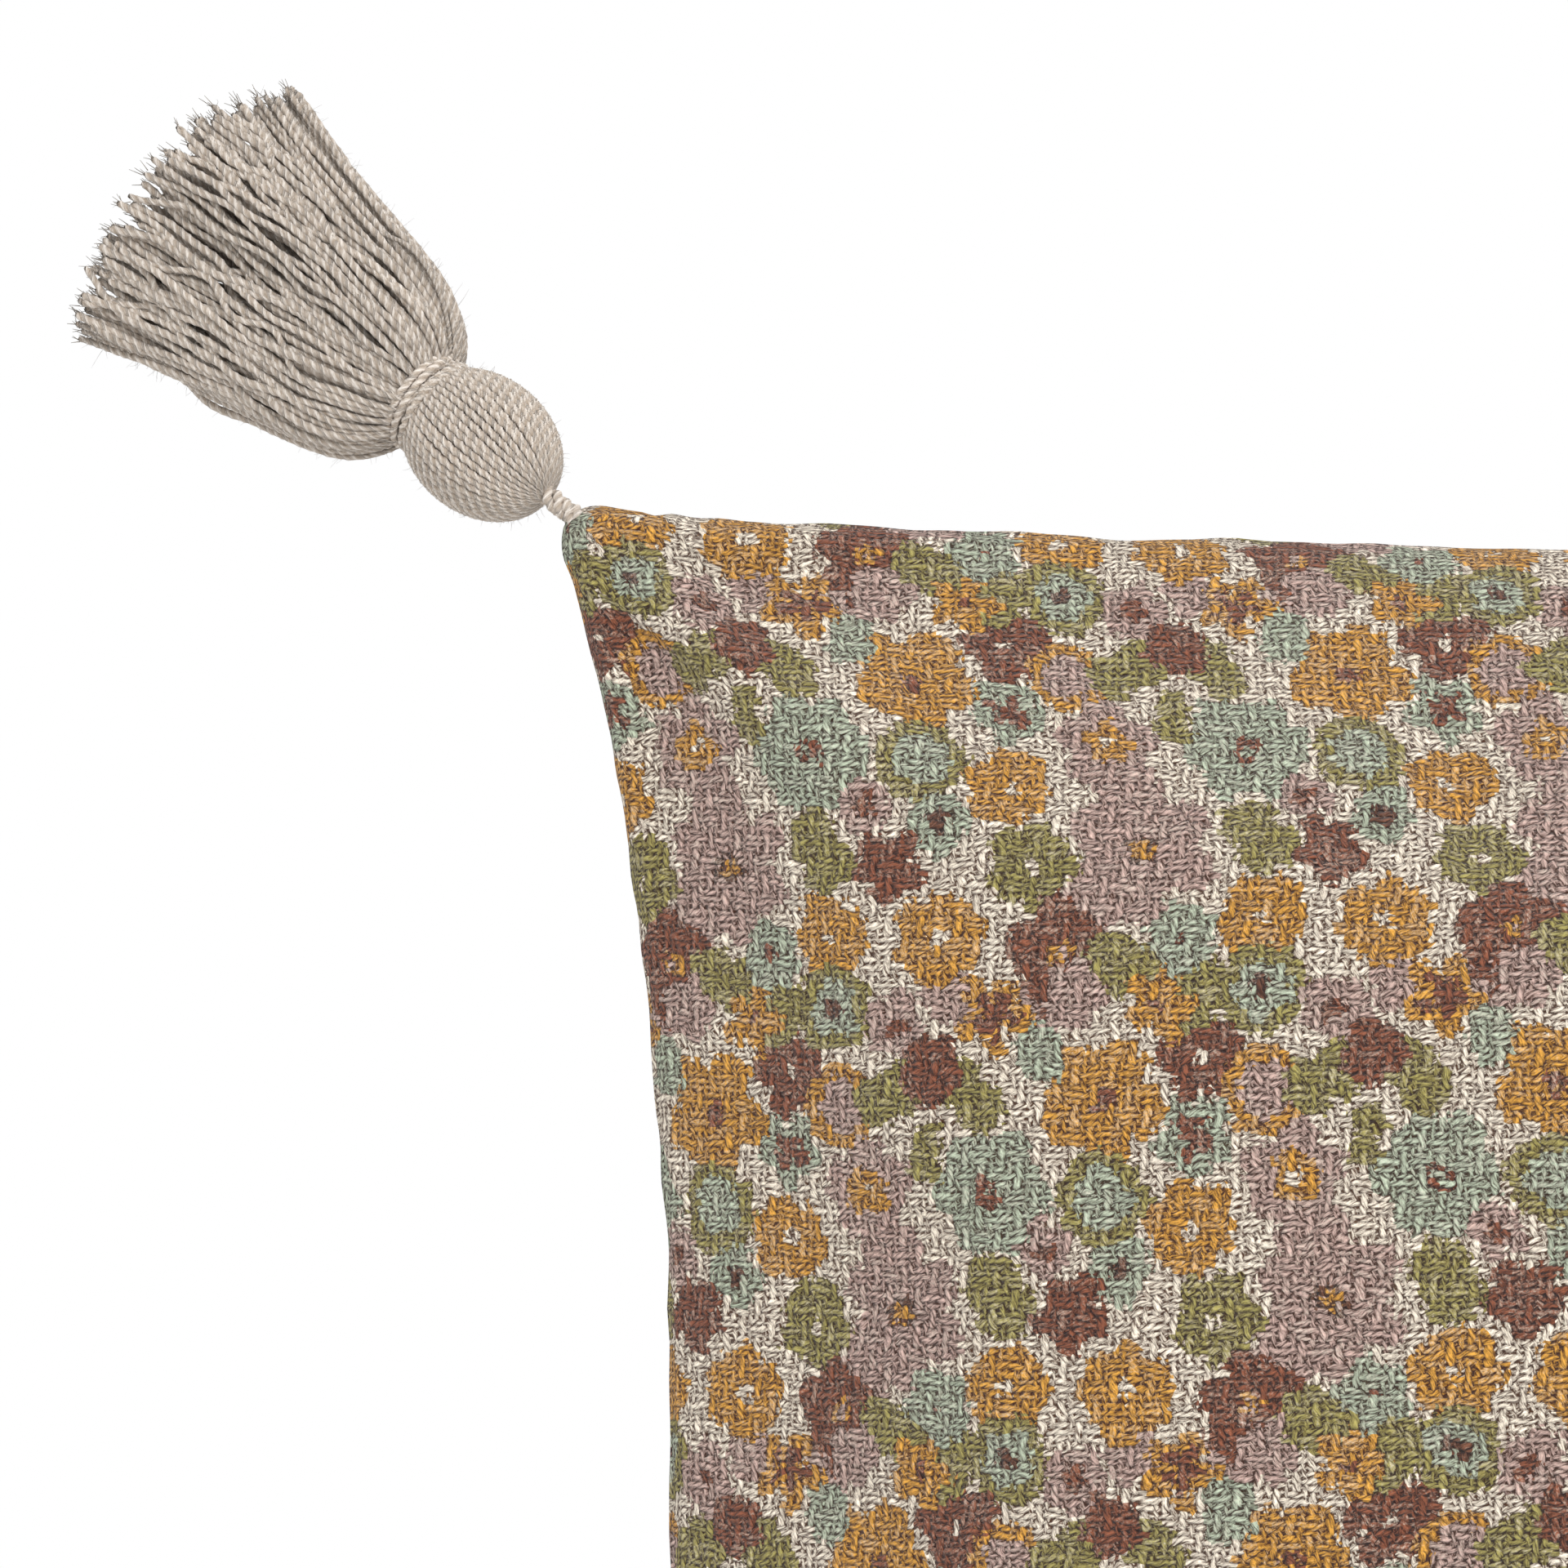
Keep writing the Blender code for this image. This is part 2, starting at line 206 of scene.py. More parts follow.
def join(tree, x, y, z=0.0):
    node = tree.nodes.new("ShaderNodeCombineXYZ")
    for slot, value in zip(node.inputs, (x, y, z)):
        plug(tree, slot, value)
    return node.outputs[0]


def vector(tree, operation, *values):
    node = tree.nodes.new("ShaderNodeVectorMath")
    node.operation = operation
    for slot, value in zip(node.inputs, values):
        plug(tree, slot, value)
    return node.outputs["Value"] if operation in ("DOT_PRODUCT", "LENGTH") else node.outputs[0]


def scaled(tree, socket, factor):
    product = vector(tree, "SCALE", socket)
    plug(tree, product.node.inputs["Scale"], factor)
    return product


def dot(tree, socket, weights):
    return Field(tree, vector(tree, "DOT_PRODUCT", socket, weights))


def noise_field(tree, position, scale, detail=2.0, roughness=0.5):
    node = tree.nodes.new("ShaderNodeTexNoise")
    tree.links.new(position, node.inputs["Vector"])
    set_values(node, Scale=scale, Detail=detail, Roughness=roughness)
    return Field(tree, node.outputs["Fac"])


def random_node(tree, position):
    node = tree.nodes.new("ShaderNodeTexWhiteNoise")
    tree.links.new(position, node.inputs["Vector"])
    return node


def scattered(tree, colours, reach):
    """A flat shift of up to half the reach either way, from random colours."""
    shift = vector(tree, "SUBTRACT", colours, (0.5, 0.5, 0.5))
    return vector(tree, "MULTIPLY", shift, (reach, reach, 0.0))


def wandering(tree, place, scale, reach, detail):
    """The place, moved about by smooth noise."""
    drift = noise_field(tree, place, scale, detail).socket.node
    return vector(tree, "ADD", place, scattered(tree, drift.outputs["Color"], reach))


def mix_colour(tree, share, first, second, blend="MIX"):
    node = tree.nodes.new("ShaderNodeMix")
    node.data_type = "RGBA"
    node.blend_type = blend
    plug(tree, node.inputs["Factor"], share)
    plug(tree, node.inputs[6], first)
    plug(tree, node.inputs[7], second)
    return node.outputs[2]


def new_group(name, inputs, outputs):
    """A node group from socket kinds by name; returns the group, its inputs and its end."""
    group = bpy.data.node_groups.new(name, "ShaderNodeTree")
    for way, sockets in (("INPUT", inputs), ("OUTPUT", outputs)):
        for label, kind in sockets.items():
            group.interface.new_socket(name=label, in_out=way, socket_type=f"NodeSocket{kind}")
    start = group.nodes.new("NodeGroupInput")
    end = group.nodes.new("NodeGroupOutput")
    return group, start, end


def use_group(tree, group, **values):
    node = tree.nodes.new("ShaderNodeGroup")
    node.node_tree = group
    for name, value in values.items():
        plug(tree, node.inputs[name], value)
    return node


def colour(red, green, blue):
    """A linear colour from 8-bit display values."""
    shares = [value / 255 for value in (red, green, blue)]
    linear = [s / 12.92 if s <= 0.04045 else ((s + 0.055) / 1.055) ** 2.4 for s in shares]
    return (*linear, 1.0)


def new_material(name):
    made = bpy.data.materials.new(name)
    made.use_nodes = True
    tree = made.node_tree
    return made, tree, tree.nodes["Principled BSDF"]


def object_place(tree):
    return tree.nodes.new("ShaderNodeTexCoord").outputs["Object"]


def mesh_places(tree, name):
    source = tree.nodes.new("ShaderNodeAttribute")
    source.attribute_name = name
    return source.outputs["Vector"]


def set_bump(tree, shader, height, distance):
    bump = tree.nodes.new("ShaderNodeBump")
    set_values(bump, Distance=distance, Strength=1.0)
    plug(tree, bump.inputs["Height"], height)
    tree.links.new(bump.outputs[0], shader.inputs["Normal"])


# ---- weave and print ----

def warp_is_up(end, pick):
    """How far the warp lies over the weft: every second end floats over three picks."""
    long_float = ((pick + end * 1.5) % 6.0) < 2.5
    short_float = (((pick + 1.0) % 3.0) < 1.5) * 0.55
    return blend_fields(end % 2.0, long_float, short_float)


def plied(tree, along, across, lay):
    """Relief of a two-ply yarn: 1 on the plies and 0 in the groove between them."""
    phase = along / PLY_PITCH + across * lay
    return (phase * math.pi).apply("SINE").apply("ABSOLUTE").apply("POWER", 0.6)


def weave_group():
    """Woven relief at a place on the cloth: height, a share of painted light and shade, and where each
    float takes its ink.
    """
    found = {"Height": "Float", "Light": "Float", "Ink": "Vector", "Chance": "Float"}
    group, start, end = new_group("weave", {"Place": "Vector"}, found)
    swayed = start.outputs["Place"]
    for scale, reach in YARN_SWAY:
        swayed = wandering(group, swayed, scale, reach, 1.0)
    x, y, _ = split(group, swayed)
    across = (x - y * WARP_LEAN) / END_PITCH
    along = y / PICK_PITCH
    end_index = across.apply("ROUND")
    pick_index = along.apply("ROUND")
    end_before = across.apply("FLOOR")
    pick_before = along.apply("FLOOR")
    to_next_end = (across - end_before).between(0.15, 0.85)
    to_next_pick = (along - pick_before).between(0.15, 0.85)
    warp_level = blend_fields(
        to_next_pick, warp_is_up(end_index, pick_before), warp_is_up(end_index, pick_before + 1.0)
    )
    weft_level = blend_fields(
        to_next_end, warp_is_up(end_before, pick_index), warp_is_up(end_before + 1.0, pick_index)
    ) * -1.0 + 1.0
    warp_across = across - end_index
    weft_across = along - pick_index
    warp_side = warp_across * 2.0 / (warp_level * 0.40 + 0.66)
    weft_side = weft_across * 2.0 / (weft_level * 0.35 + 0.72)
    warp_height = warp_level * 0.55 - warp_side * warp_side * 0.80
    weft_height = weft_level * 0.55 - weft_side * weft_side * 0.80
    warp_shows = weft_height < warp_height
    relief = warp_height.apply("MAXIMUM", weft_height)

    warp_ply = plied(group, y, warp_across, PLY_LAY)
    weft_ply = plied(group, x, weft_across, -PLY_LAY)
    ply = blend_fields(warp_shows, weft_ply, warp_ply) - 0.6

    slant_warp = join(group, x * 2.3 + y * 0.9, y * 0.55)
    slant_weft = join(group, x * 0.55, y * 2.3 - x * 0.9, 7.0)
    warp_fibres = noise_field(group, slant_warp, 1.0, 3.0, 0.80)
    weft_fibres = noise_field(group, slant_weft, 1.0, 3.0, 0.80)
    fibres = blend_fields(warp_shows, weft_fibres, warp_fibres) - 0.5
    height = relief + fibres * 1.1 + ply * 0.35
    # Painted light and shade: the tops of the yarns and their plies lighter, the grooves between them
    # darker, with the fibres' own streaks
    light = relief + fibres * 4.6 + ply * 0.65

    yarn = blend_fields(warp_shows, pick_index + 0.5, end_index)
    stretch = blend_fields(warp_shows, end_before, pick_before).apply("MULTIPLY", 0.34).apply("FLOOR")
    jitter = random_node(group, join(group, yarn, stretch, warp_shows))
    spread = scattered(group, jitter.outputs["Color"], INK_SCATTER)
    cell = join(group, end_index * END_PITCH, pick_index * PICK_PITCH)
    ink = vector(group, "ADD", scaled(group, swayed, 1 - CELL_INK), spread)
    ink = vector(group, "ADD", ink, vector(group, "MULTIPLY", cell, (CELL_INK, CELL_INK, 0.0)))
    plug(group, end.inputs["Height"], height)
    plug(group, end.inputs["Light"], light)
    plug(group, end.inputs["Ink"], ink)
    plug(group, end.inputs["Chance"], jitter.outputs["Value"])
    return group


REPEAT_A = (78.9, 4.5)      # the print's two repeat vectors, in millimetres
REPEAT_B = (35.0, -79.2)

OFF_WHITE = colour(233, 222, 204)
MUSTARD = colour(206, 150, 60)
BROWN = colour(134, 78, 54)
DARK_BROWN = colour(104, 66, 48)
MAUVE = colour(190, 162, 152)
BLUE = colour(174, 184, 162)
GREEN = colour(154, 144, 82)

# Motifs of one repeat: centre in millimetres, radius, petals (0 for a disc), notch, turn in
# degrees, and its colours from the centre outwards, between them the shares where each ends
MOTIFS = (
    ((38.0, -23.5), 6.4, 0, 0.0, 0, (MAUVE,)),
    ((24.5, -62.5), 6.0, 5, 0.25, 10, (BROWN, 0.3, MAUVE)),
    ((7.0, -61.5), 5.5, 5, 0.25, 40, (MAUVE,)),
    ((33.0, -45.5), 6.0, 5, 0.2, 0, (MAUVE,)),
    ((0.0, 0.0), 11.6, 5, 0.28, 10, (BROWN, 0.17, MUSTARD)),
    ((17.5, 8.2), 8.8, 5, 0.3, 40, (OFF_WHITE, 0.15, BROWN)),
    ((28.4, 2.2), 7.6, 0, 0.0, 0, (MAUVE, 0.66, MUSTARD)),
    ((16.4, -6.0), 7.2, 5, 0.3, 20, (BLUE,)),
    ((16.4, -6.0), 4.2, 4, 0.75, 30, (BROWN,)),
    ((-20.2, -16.7), 11.6, 6, 0.2, 0, (BLUE, 0.1, BROWN, 0.22, BLUE)),
    ((0.3, -17.2), 8.2, 0, 0.0, 0, (BLUE, 0.64, GREEN)),
    ((16.0, -22.0), 8.2, 6, 0.14, 15, (OFF_WHITE, 0.18, MUSTARD)),
    ((33.9, -12.3), 9.8, 5, 0.3, 55, (OFF_WHITE, 0.12, MUSTARD, 0.48, MAUVE)),
    ((40.4, -33.9), 14.0, 6, 0.34, 25, (MUSTARD, 0.15, DARK_BROWN, 0.24, MAUVE)),
    ((20.9, -37.4), 8.4, 5, 0.2, 5, (OFF_WHITE, 0.14, GREEN)),
    ((-10.0, -26.2), 5.2, 5, 0.2, 30, (BROWN, 0.4, MAUVE)),
    ((3.7, -29.6), 6.0, 5, 0.2, 0, (DARK_BROWN, 0.34, BLUE)),
    ((-18.2, -35.1), 8.0, 2, 0.45, 60, (GREEN,)),
    ((-5.2, -37.4), 7.4, 5, 0.3, 18, (BROWN,)),
    ((-16.4, -50.8), 8.2, 6, 0.14, 0, (OFF_WHITE, 0.16, MUSTARD)),
    ((5.2, -50.8), 8.7, 6, 0.14, 36, (OFF_WHITE, 0.18, MUSTARD)),
    ((26.9, -52.3), 9.6, 5, 0.24, 50, (MAUVE, 0.11, MUSTARD, 0.22, BROWN)),
    ((15.4, -64.3), 7.8, 5, 0.55, 12, (MUSTARD,)),
    ((15.4, -64.3), 4.6, 5, 0.8, 12, (BROWN,)),
    ((38.9, -55.3), 7.8, 2, 0.4, 20, (GREEN,)),
    ((50.8, -59.8), 7.0, 2, 0.4, 110, (GREEN,)),
    ((44.8, -62.0), 6.8, 5, 0.5, 0, (BROWN, 0.2, MUSTARD)),
    ((27.7, 20.2), 8.0, 0, 0.0, 0, (DARK_BROWN, 0.22, BLUE, 0.62, GREEN)),
    ((40.4, 17.2), 6.4, 5, 0.22, 0, (BROWN, 0.34, MAUVE)),
    ((38.9, 4.5), 7.6, 2, 0.5, 150, (GREEN,)),
    ((55.0, 5.0), 7.2, 2, 0.5, 50, (GREEN,)),
    ((46.6, -5.0), 6.0, 2, 0.8, 95, (GREEN,)),
    ((47.6, 9.4), 6.2, 5, 0.18, 90, (BROWN,)),
    ((-11.2, 8.0), 5.6, 2, 0.25, 95, (BLUE,)),
    ((-5.2, 18.7), 6.2, 5, 0.22, 0, (MAUVE,)),
    ((48.6, -50.1), 6.8, 5, 0.2, 30, (BROWN, 0.14, BLUE)),
)


def inverse_repeat():
    """Rows that turn a place in millimetres into a place in repeats."""
    (ax, ay), (bx, by) = REPEAT_A, REPEAT_B
    area = ax * by - bx * ay
    return (by / area, -bx / area, 0.0), (-ay / area, ax / area, 0.0)


def motif_group():
    """Distance from the nearest copy of a motif's centre, as a share of its outline there."""
    given = {"Repeat": "Vector", "Centre": "Vector"}
    given.update(dict.fromkeys(("Radius", "Petals", "Notch", "Turn"), "Float"))
    group, start, end = new_group("motif", given, {"Share": "Float"})
    offset = vector(group, "SUBTRACT", start.outputs["Repeat"], start.outputs["Centre"])
    nearest = vector(group, "FRACTION", offset)
    nearest = vector(group, "SUBTRACT", nearest, (0.5, 0.5, 0.0))
    x = dot(group, nearest, (REPEAT_A[0], REPEAT_B[0], 0.0))
    y = dot(group, nearest, (REPEAT_A[1], REPEAT_B[1], 0.0))
    distance = Field(group, vector(group, "LENGTH", join(group, x, y)))
    angle = y.apply("ARCTAN2", x) + start.outputs["Turn"]
    wave = (angle * start.outputs["Petals"] * 0.5).apply("COSINE").apply("ABSOLUTE")
    notch = Field(group, start.outputs["Notch"])
    outline = (wave * -1.0 + 1.0) * notch * -1.0 + 1.0
    plug(group, end.inputs["Share"], distance / start.outputs["Radius"] / outline)
    return group


def band_ramp(tree, share, bands):
    """Colour bands from the centre outwards, with alpha falling to 0 past the last one."""
    shades, ends = bands[::2], bands[1::2]
    node = tree.nodes.new("ShaderNodeValToRGB")
    ramp = node.color_ramp
    ramp.interpolation = "CONSTANT"
    plug(tree, node.inputs[0], share * 0.5)
    ramp.elements[0].position = 0.0
    ramp.elements[0].color = shades[0]
    ramp.elements[1].position = 0.5
    ramp.elements[1].color = (0.0, 0.0, 0.0, 0.0)
    for inner, shade in zip(ends, shades[1:]):
        ramp.elements.new(inner * 0.5).color = shade
    return node


def print_group():
    """Ink colour at a place on the cloth, from the motifs of the repeat."""
    group, start, end = new_group("flower_print", {"Ink": "Vector"}, {"Color": "Color"})
    place = wandering(group, start.outputs["Ink"], 0.16, 3.2, 2.0)
    row_a, row_b = inverse_repeat()
    repeat = join(group, dot(group, place, row_a), dot(group, place, row_b))
    motif = motif_group()
    shade = OFF_WHITE
    for centre, radius, petals, notch, turn, bands in MOTIFS:
        middle = Vector((*centre, 0.0))
        half_off = (middle.dot(row_a) + 0.5, middle.dot(row_b) + 0.5, 0.0)
        node = use_group(
            group, motif, Repeat=repeat, Centre=half_off, Radius=radius,
            Petals=petals, Notch=notch, Turn=math.radians(turn),
        )
        ramp = band_ramp(group, Field(group, node.outputs[0]), bands)
        shade = mix_colour(group, ramp.outputs["Alpha"], shade, ramp.outputs["Color"])
    plug(group, end.inputs["Color"], shade)
    return group


def printed_cotton(name, weave, flowers, offset):
    """Coarse printed cloth, whose place in millimetres comes from the mesh, with the weave's light and
    shade painted into its colour.
    """
    made, tree, shader = new_material(name)
    place = vector(tree, "ADD", mesh_places(tree, "cloth_mm"), offset)
    woven = use_group(tree, weave, Place=place)
    ink = use_group(tree, flowers, Ink=woven.outputs["Ink"])
    patchy = noise_field(tree, place, 0.5, 3.0, 0.6)
    # Painted highlight: the ink brightened to the lit tops of the yarns, with random patches of tone
    patches_and_painted_crest_light = patchy * 0.5 + 1.38
    shade = scaled(tree, ink.outputs["Color"], patches_and_painted_crest_light)
    light = (Field(tree, woven.outputs["Light"]) + 0.18) / 1.35
    light = light.apply("MAXIMUM", 0.0)
    # Painted shade: the ink darkened to a warm brown in the crevices between the yarns, where the
    # painted light share is low
    crevice_painted_shade = mix_colour(tree, 1.0, shade, (0.060, 0.024, 0.009, 1.0), "MULTIPLY")
    finished = mix_colour(tree, light, crevice_painted_shade, shade)
    # Unprinted off-white threads in random patches, weighed by the painted light share so that the
    # painted crevice shade stays over them
    worn = noise_field(tree, place, 1.9, 2.0, 0.7) + Field(tree, woven.outputs["Chance"]) * 0.30
    bare = worn.between(0.60, 0.95) * light.apply("MINIMUM", 1.0) * 0.65
    finished = mix_colour(tree, bare, finished, OFF_WHITE)
    tree.links.new(finished, shader.inputs["Base Color"])
    set_values(
        shader,
        Roughness=0.92,
        Specular_IOR_Level=0.15,
        Sheen_Weight=0.15,
        Sheen_Roughness=0.6,
    )
    set_bump(tree, shader, woven.outputs["Height"], 0.8 * MM)
    return made


def plain_cloth(name, pale, dark, pitch):
    """A fine plain weave, with its yarns along the object's own axes and painted shade in its hollows.
    """
    made, tree, shader = new_material(name)
    place = scaled(tree, object_place(tree), 1 / MM)
    x, y, z = split(tree, place)
    over = (x * (math.pi / pitch)).apply("SINE") * (y * (math.pi / pitch)).apply("SINE")
    rib = over * (z * (math.pi / pitch)).apply("COSINE")
    fibres = noise_field(tree, place, 2.0 / pitch, 3.0, 0.7)
    relief = rib * 0.5 + fibres
    # Painted shade: darker where the weave's relief is low, between the yarns, mixed with the fibres'
    # own tone
    tree.links.new(mix_colour(tree, relief.between(0.1, 0.9), dark, pale), shader.inputs["Base Color"])
    set_values(shader, Roughness=0.9, Specular_IOR_Level=0.2)
    set_bump(tree, shader, relief, 0.15 * MM)
    return made


def coil_teeth(name, pitch):
    """Nylon coil of a zip: rounded teeth side by side along the object's x axis, with painted shade in
    the gaps between them.
    """
    made, tree, shader = new_material(name)
    x, y, z = split(tree, object_place(tree))
    slanted = x * 1000.0 + y * 350.0 + z * 350.0
    tooth = (slanted * (math.pi / pitch)).apply("SINE").apply("ABSOLUTE").apply("POWER", 0.5)
    # Painted shade: the coil darker in the gaps between the teeth
    shade = mix_colour(tree, tooth, colour(120, 108, 90), colour(222, 212, 192))
    tree.links.new(shade, shader.inputs["Base Color"])
    set_values(shader, Roughness=0.38)
    set_bump(tree, shader, tooth, 0.4 * MM)
    return made


def worn_metal(name):
    """Brushed, slightly tarnished zip metal."""
    made, tree, shader = new_material(name)
    place = object_place(tree)
    brushed = vector(tree, "MULTIPLY", place, (600.0, 9000.0, 2500.0))
    lines = noise_field(tree, brushed, 1.0, 3.0, 0.6)
    tarnish = noise_field(tree, place, 700.0, 3.0, 0.6).between(0.45, 0.75)
    shade = mix_colour(tree, tarnish, colour(176, 162, 132), colour(112, 98, 74))
    tree.links.new(shade, shader.inputs["Base Color"])
    set_values(shader, Metallic=1.0)
    plug(tree, shader.inputs["Roughness"], lines * 0.25 + tarnish * 0.15 + 0.18)
    set_bump(tree, shader, lines, 0.03 * MM)
    return made


def dress_small_parts():
    """Materials for the CAD nodes that are shown as they are: the zip and the care label."""
    tape = plain_cloth("zip_tape", colour(208, 198, 178), colour(140, 128, 108), 0.55)
    teeth = coil_teeth("zip_teeth", 1.5)
    metal = worn_metal("zip_metal")
    label = plain_cloth("label", colour(240, 238, 230), colour(206, 202, 192), 0.28)
    looks = (("zip_tape", tape), ("zip_chain", teeth), ("care_label", label), ("zip_", metal))
    for name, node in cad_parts.items():
        found = [look for start, look in looks if name.startswith(start)]
        if found:
            node.material_slots[0].material = found[0]


# ---- meshes and objects ----

def add_object(name, data):
    made = bpy.data.objects.new(name, data)
    bpy.context.scene.collection.objects.link(made)
    return made


def note_places(mesh, name, domain, places):
    """Keep a vector for each point or face corner, for the materials to read."""
    attribute = mesh.attributes.new(name, "FLOAT_VECTOR", domain)
    attribute.data.foreach_set("vector", places.astype(np.float32).ravel())


# ---- cushion ----

def cushion_form(u, v):
    """Plan and heights of the filled cover's panels, for places from -1 to 1 both ways."""
    half_length, half_width, seam, top = COVER["half_x"], COVER["half_y"], COVER["seam"], COVER["top"]
    length = half_length - END_PULL * (1 - np.abs(v) ** EDGE_CURVE)
    share = np.minimum(1.0, (1 - np.abs(u)) / (1 - STRAIGHT_PART))
    straight = SIDE_PULL * share * share * (3 - 2 * share)
    pull = np.where(v >= 0, TOP_PULL * (1 - np.abs(u) ** EDGE_CURVE), straight)
    width = half_width - pull
    near_end = np.clip(1 - (1 - np.abs(u)) * length / CORNER_RADIUS, 0, 1)
    near_side = np.clip(1 - (1 - np.abs(v)) * width / CORNER_RADIUS, 0, 1)
    larger = np.maximum(near_end, near_side)
    cut = 1 - larger / np.maximum(np.hypot(near_end, near_side), 1e-6)
    x = u * length - np.sign(u) * CORNER_RADIUS * near_end * cut
    y = v * width - np.sign(v) * CORNER_RADIUS * near_side * cut
    crown = np.maximum(0.0, (1 - u * u) * (1 - v * v)) ** CROWN_POWER
    front = seam + (top - seam) * crown
    back = seam - seam * np.minimum(1.0, BASE_SPREAD * crown)
    return x, y, front, back


def measure_cover():
    front_low, front_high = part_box("cover_front")
    return {
        "half_x": front_high.x + ROUND_LOSS_X,
        "half_y": front_high.y + ROUND_LOSS_Y,
        "seam": front_low.z,
        "top": front_high.z,
    }


def spread_places(count):
    """Places from -1 to 1, closer together near the ends."""
    steps = np.linspace(-1.0, 1.0, count + 1)
    return np.sin(np.pi / 2 * steps) * 0.75 + steps * 0.25


def cover_grids():
    """Grids of points of the front and the back panel, shape (2, columns, rows, 3)."""
    u, v = np.meshgrid(spread_places(CELLS_X), spread_places(CELLS_Y), indexing="ij")
    x, y, front, back = cushion_form(u, v)
    return np.array([np.stack([x, y, front], -1), np.stack([x, y, back], -1)])


def on_border(shape):
    mask = np.zeros(shape, bool)
    mask[0, :] = mask[-1, :] = True
    mask[:, 0] = mask[:, -1] = True
    return mask


def number_points(separate):
    """Numbers of the front's points and the back's, which has points of its own where separate."""
    front = np.arange(separate.size).reshape(separate.shape)
    back = front.copy()
    back[separate] = front.size + np.arange(separate.sum())
    return front, back


def cell_corners(grid):
    return grid[:-1, :-1], grid[1:, :-1], grid[1:, 1:], grid[:-1, 1:]


def grid_quads(numbers):
    return np.stack([corner.ravel() for corner in cell_corners(numbers)], -1)


def grid_mesh(grids, name):
    """One closed mesh of both panels, sewn all the way round; returns it and its numbering."""
    inside = ~on_border(grids.shape[1:3])
    front, back = number_points(inside)
    points = np.concatenate([grids[0].reshape(-1, 3), grids[1][inside]])
    faces = []
    for side, number in enumerate((front, back)):
        quads = grid_quads(number)
        faces.append(quads if side == 0 else quads[:, ::-1])
    mesh = bpy.data.meshes.new(name)
    mesh.from_pydata(points.tolist(), [], np.concatenate(faces).tolist())
    return mesh, front, back


def seam_distance(grids):
    """Distance of each point of the grid from the seam, seen from above."""
    plan = grids[0][..., :2]
    to_side = np.minimum(plan[..., 0] - plan[:1, :, 0], plan[-1:, :, 0] - plan[..., 0])
    to_end = np.minimum(plan[..., 1] - plan[:, :1, 1], plan[:, -1:, 1] - plan[..., 1])
    return np.minimum(to_side, to_end)


def inflate(grids):
    """Fill the cover by cloth simulation; each point may move only so far."""
    mesh, front, back = grid_mesh(grids, "filling_cloth")
    cloth = add_object("filling_cloth", mesh)
    border = cloth.vertex_groups.new(name="seam")
    seam = sorted(set(front[on_border(front.shape)].tolist()))
    border.add(seam, 0.35, "REPLACE")
    modifier = cloth.modifiers.new("cloth", "CLOTH")
    settings = modifier.settings
    settings.quality = 6
    settings.mass = 0.3
    settings.use_pressure = True
    settings.uniform_pressure_force = PRESSURE
    settings.effector_weights.gravity = 0.0
    settings.shrink_min = -EXCESS
    settings.bending_stiffness = 0.3
    settings.vertex_group_mass = "seam"     # Blender's name for the pinned group
    settings.pin_stiffness = 0.5
    modifier.point_cache.frame_start = 1
    modifier.point_cache.frame_end = FRAMES
    scene = bpy.context.scene
    for step in range(1, FRAMES + 1):
        scene.frame_set(step)
    filled = cloth.evaluated_get(bpy.context.evaluated_depsgraph_get()).data
    points = np.zeros(len(filled.vertices) * 3)
    filled.vertices.foreach_get("co", points)
    points = points.reshape(-1, 3)
    scene.frame_set(1)
    bpy.data.objects.remove(cloth)
    moved = np.array([points[front], points[back]]) - grids
    distance = np.linalg.norm(moved, axis=-1)
    growth = np.clip(seam_distance(grids) / SHIFT_GROWTH, 0, 1)
    most = EDGE_SHIFT + (MOST_SHIFT - EDGE_SHIFT) * growth
    share = np.minimum(1.0, most / np.maximum(distance, 1e-9))
    return grids + moved * share[..., None]


def refined(grid, factor):
    """A finer grid through the same points, by cubic curves along its lines."""
    for axis in (0, 1):
        grid = np.moveaxis(grid, axis, 0)
        count = len(grid) - 1
        places = np.arange(count * factor + 1) / factor
        first = np.minimum(places.astype(int), count - 1)
        t = (places - first)[:, None, None]
        a, b, c, d = (grid[np.clip(first + k, 0, count)] for k in (-1, 0, 1, 2))
        slope_b, slope_c = (c - a) / 2, (d - b) / 2
        curve = ((2 * t ** 3 - 3 * t ** 2 + 1) * b + (t ** 3 - 2 * t ** 2 + t) * slope_b
                 + (3 * t ** 2 - 2 * t ** 3) * c + (t ** 3 - t ** 2) * slope_c)
        grid = np.moveaxis(curve, 0, axis)
    return grid


def wave_noise(points, size, seed):
    """Smooth noise from -1 to 1 at each point, for bumps of about that size."""
    flat = points.reshape(-1, 3) / size + seed * 17.3
    values = [noise.noise(Vector(point)) for point in flat.tolist()]
    return np.array(values).reshape(points.shape[:-1])


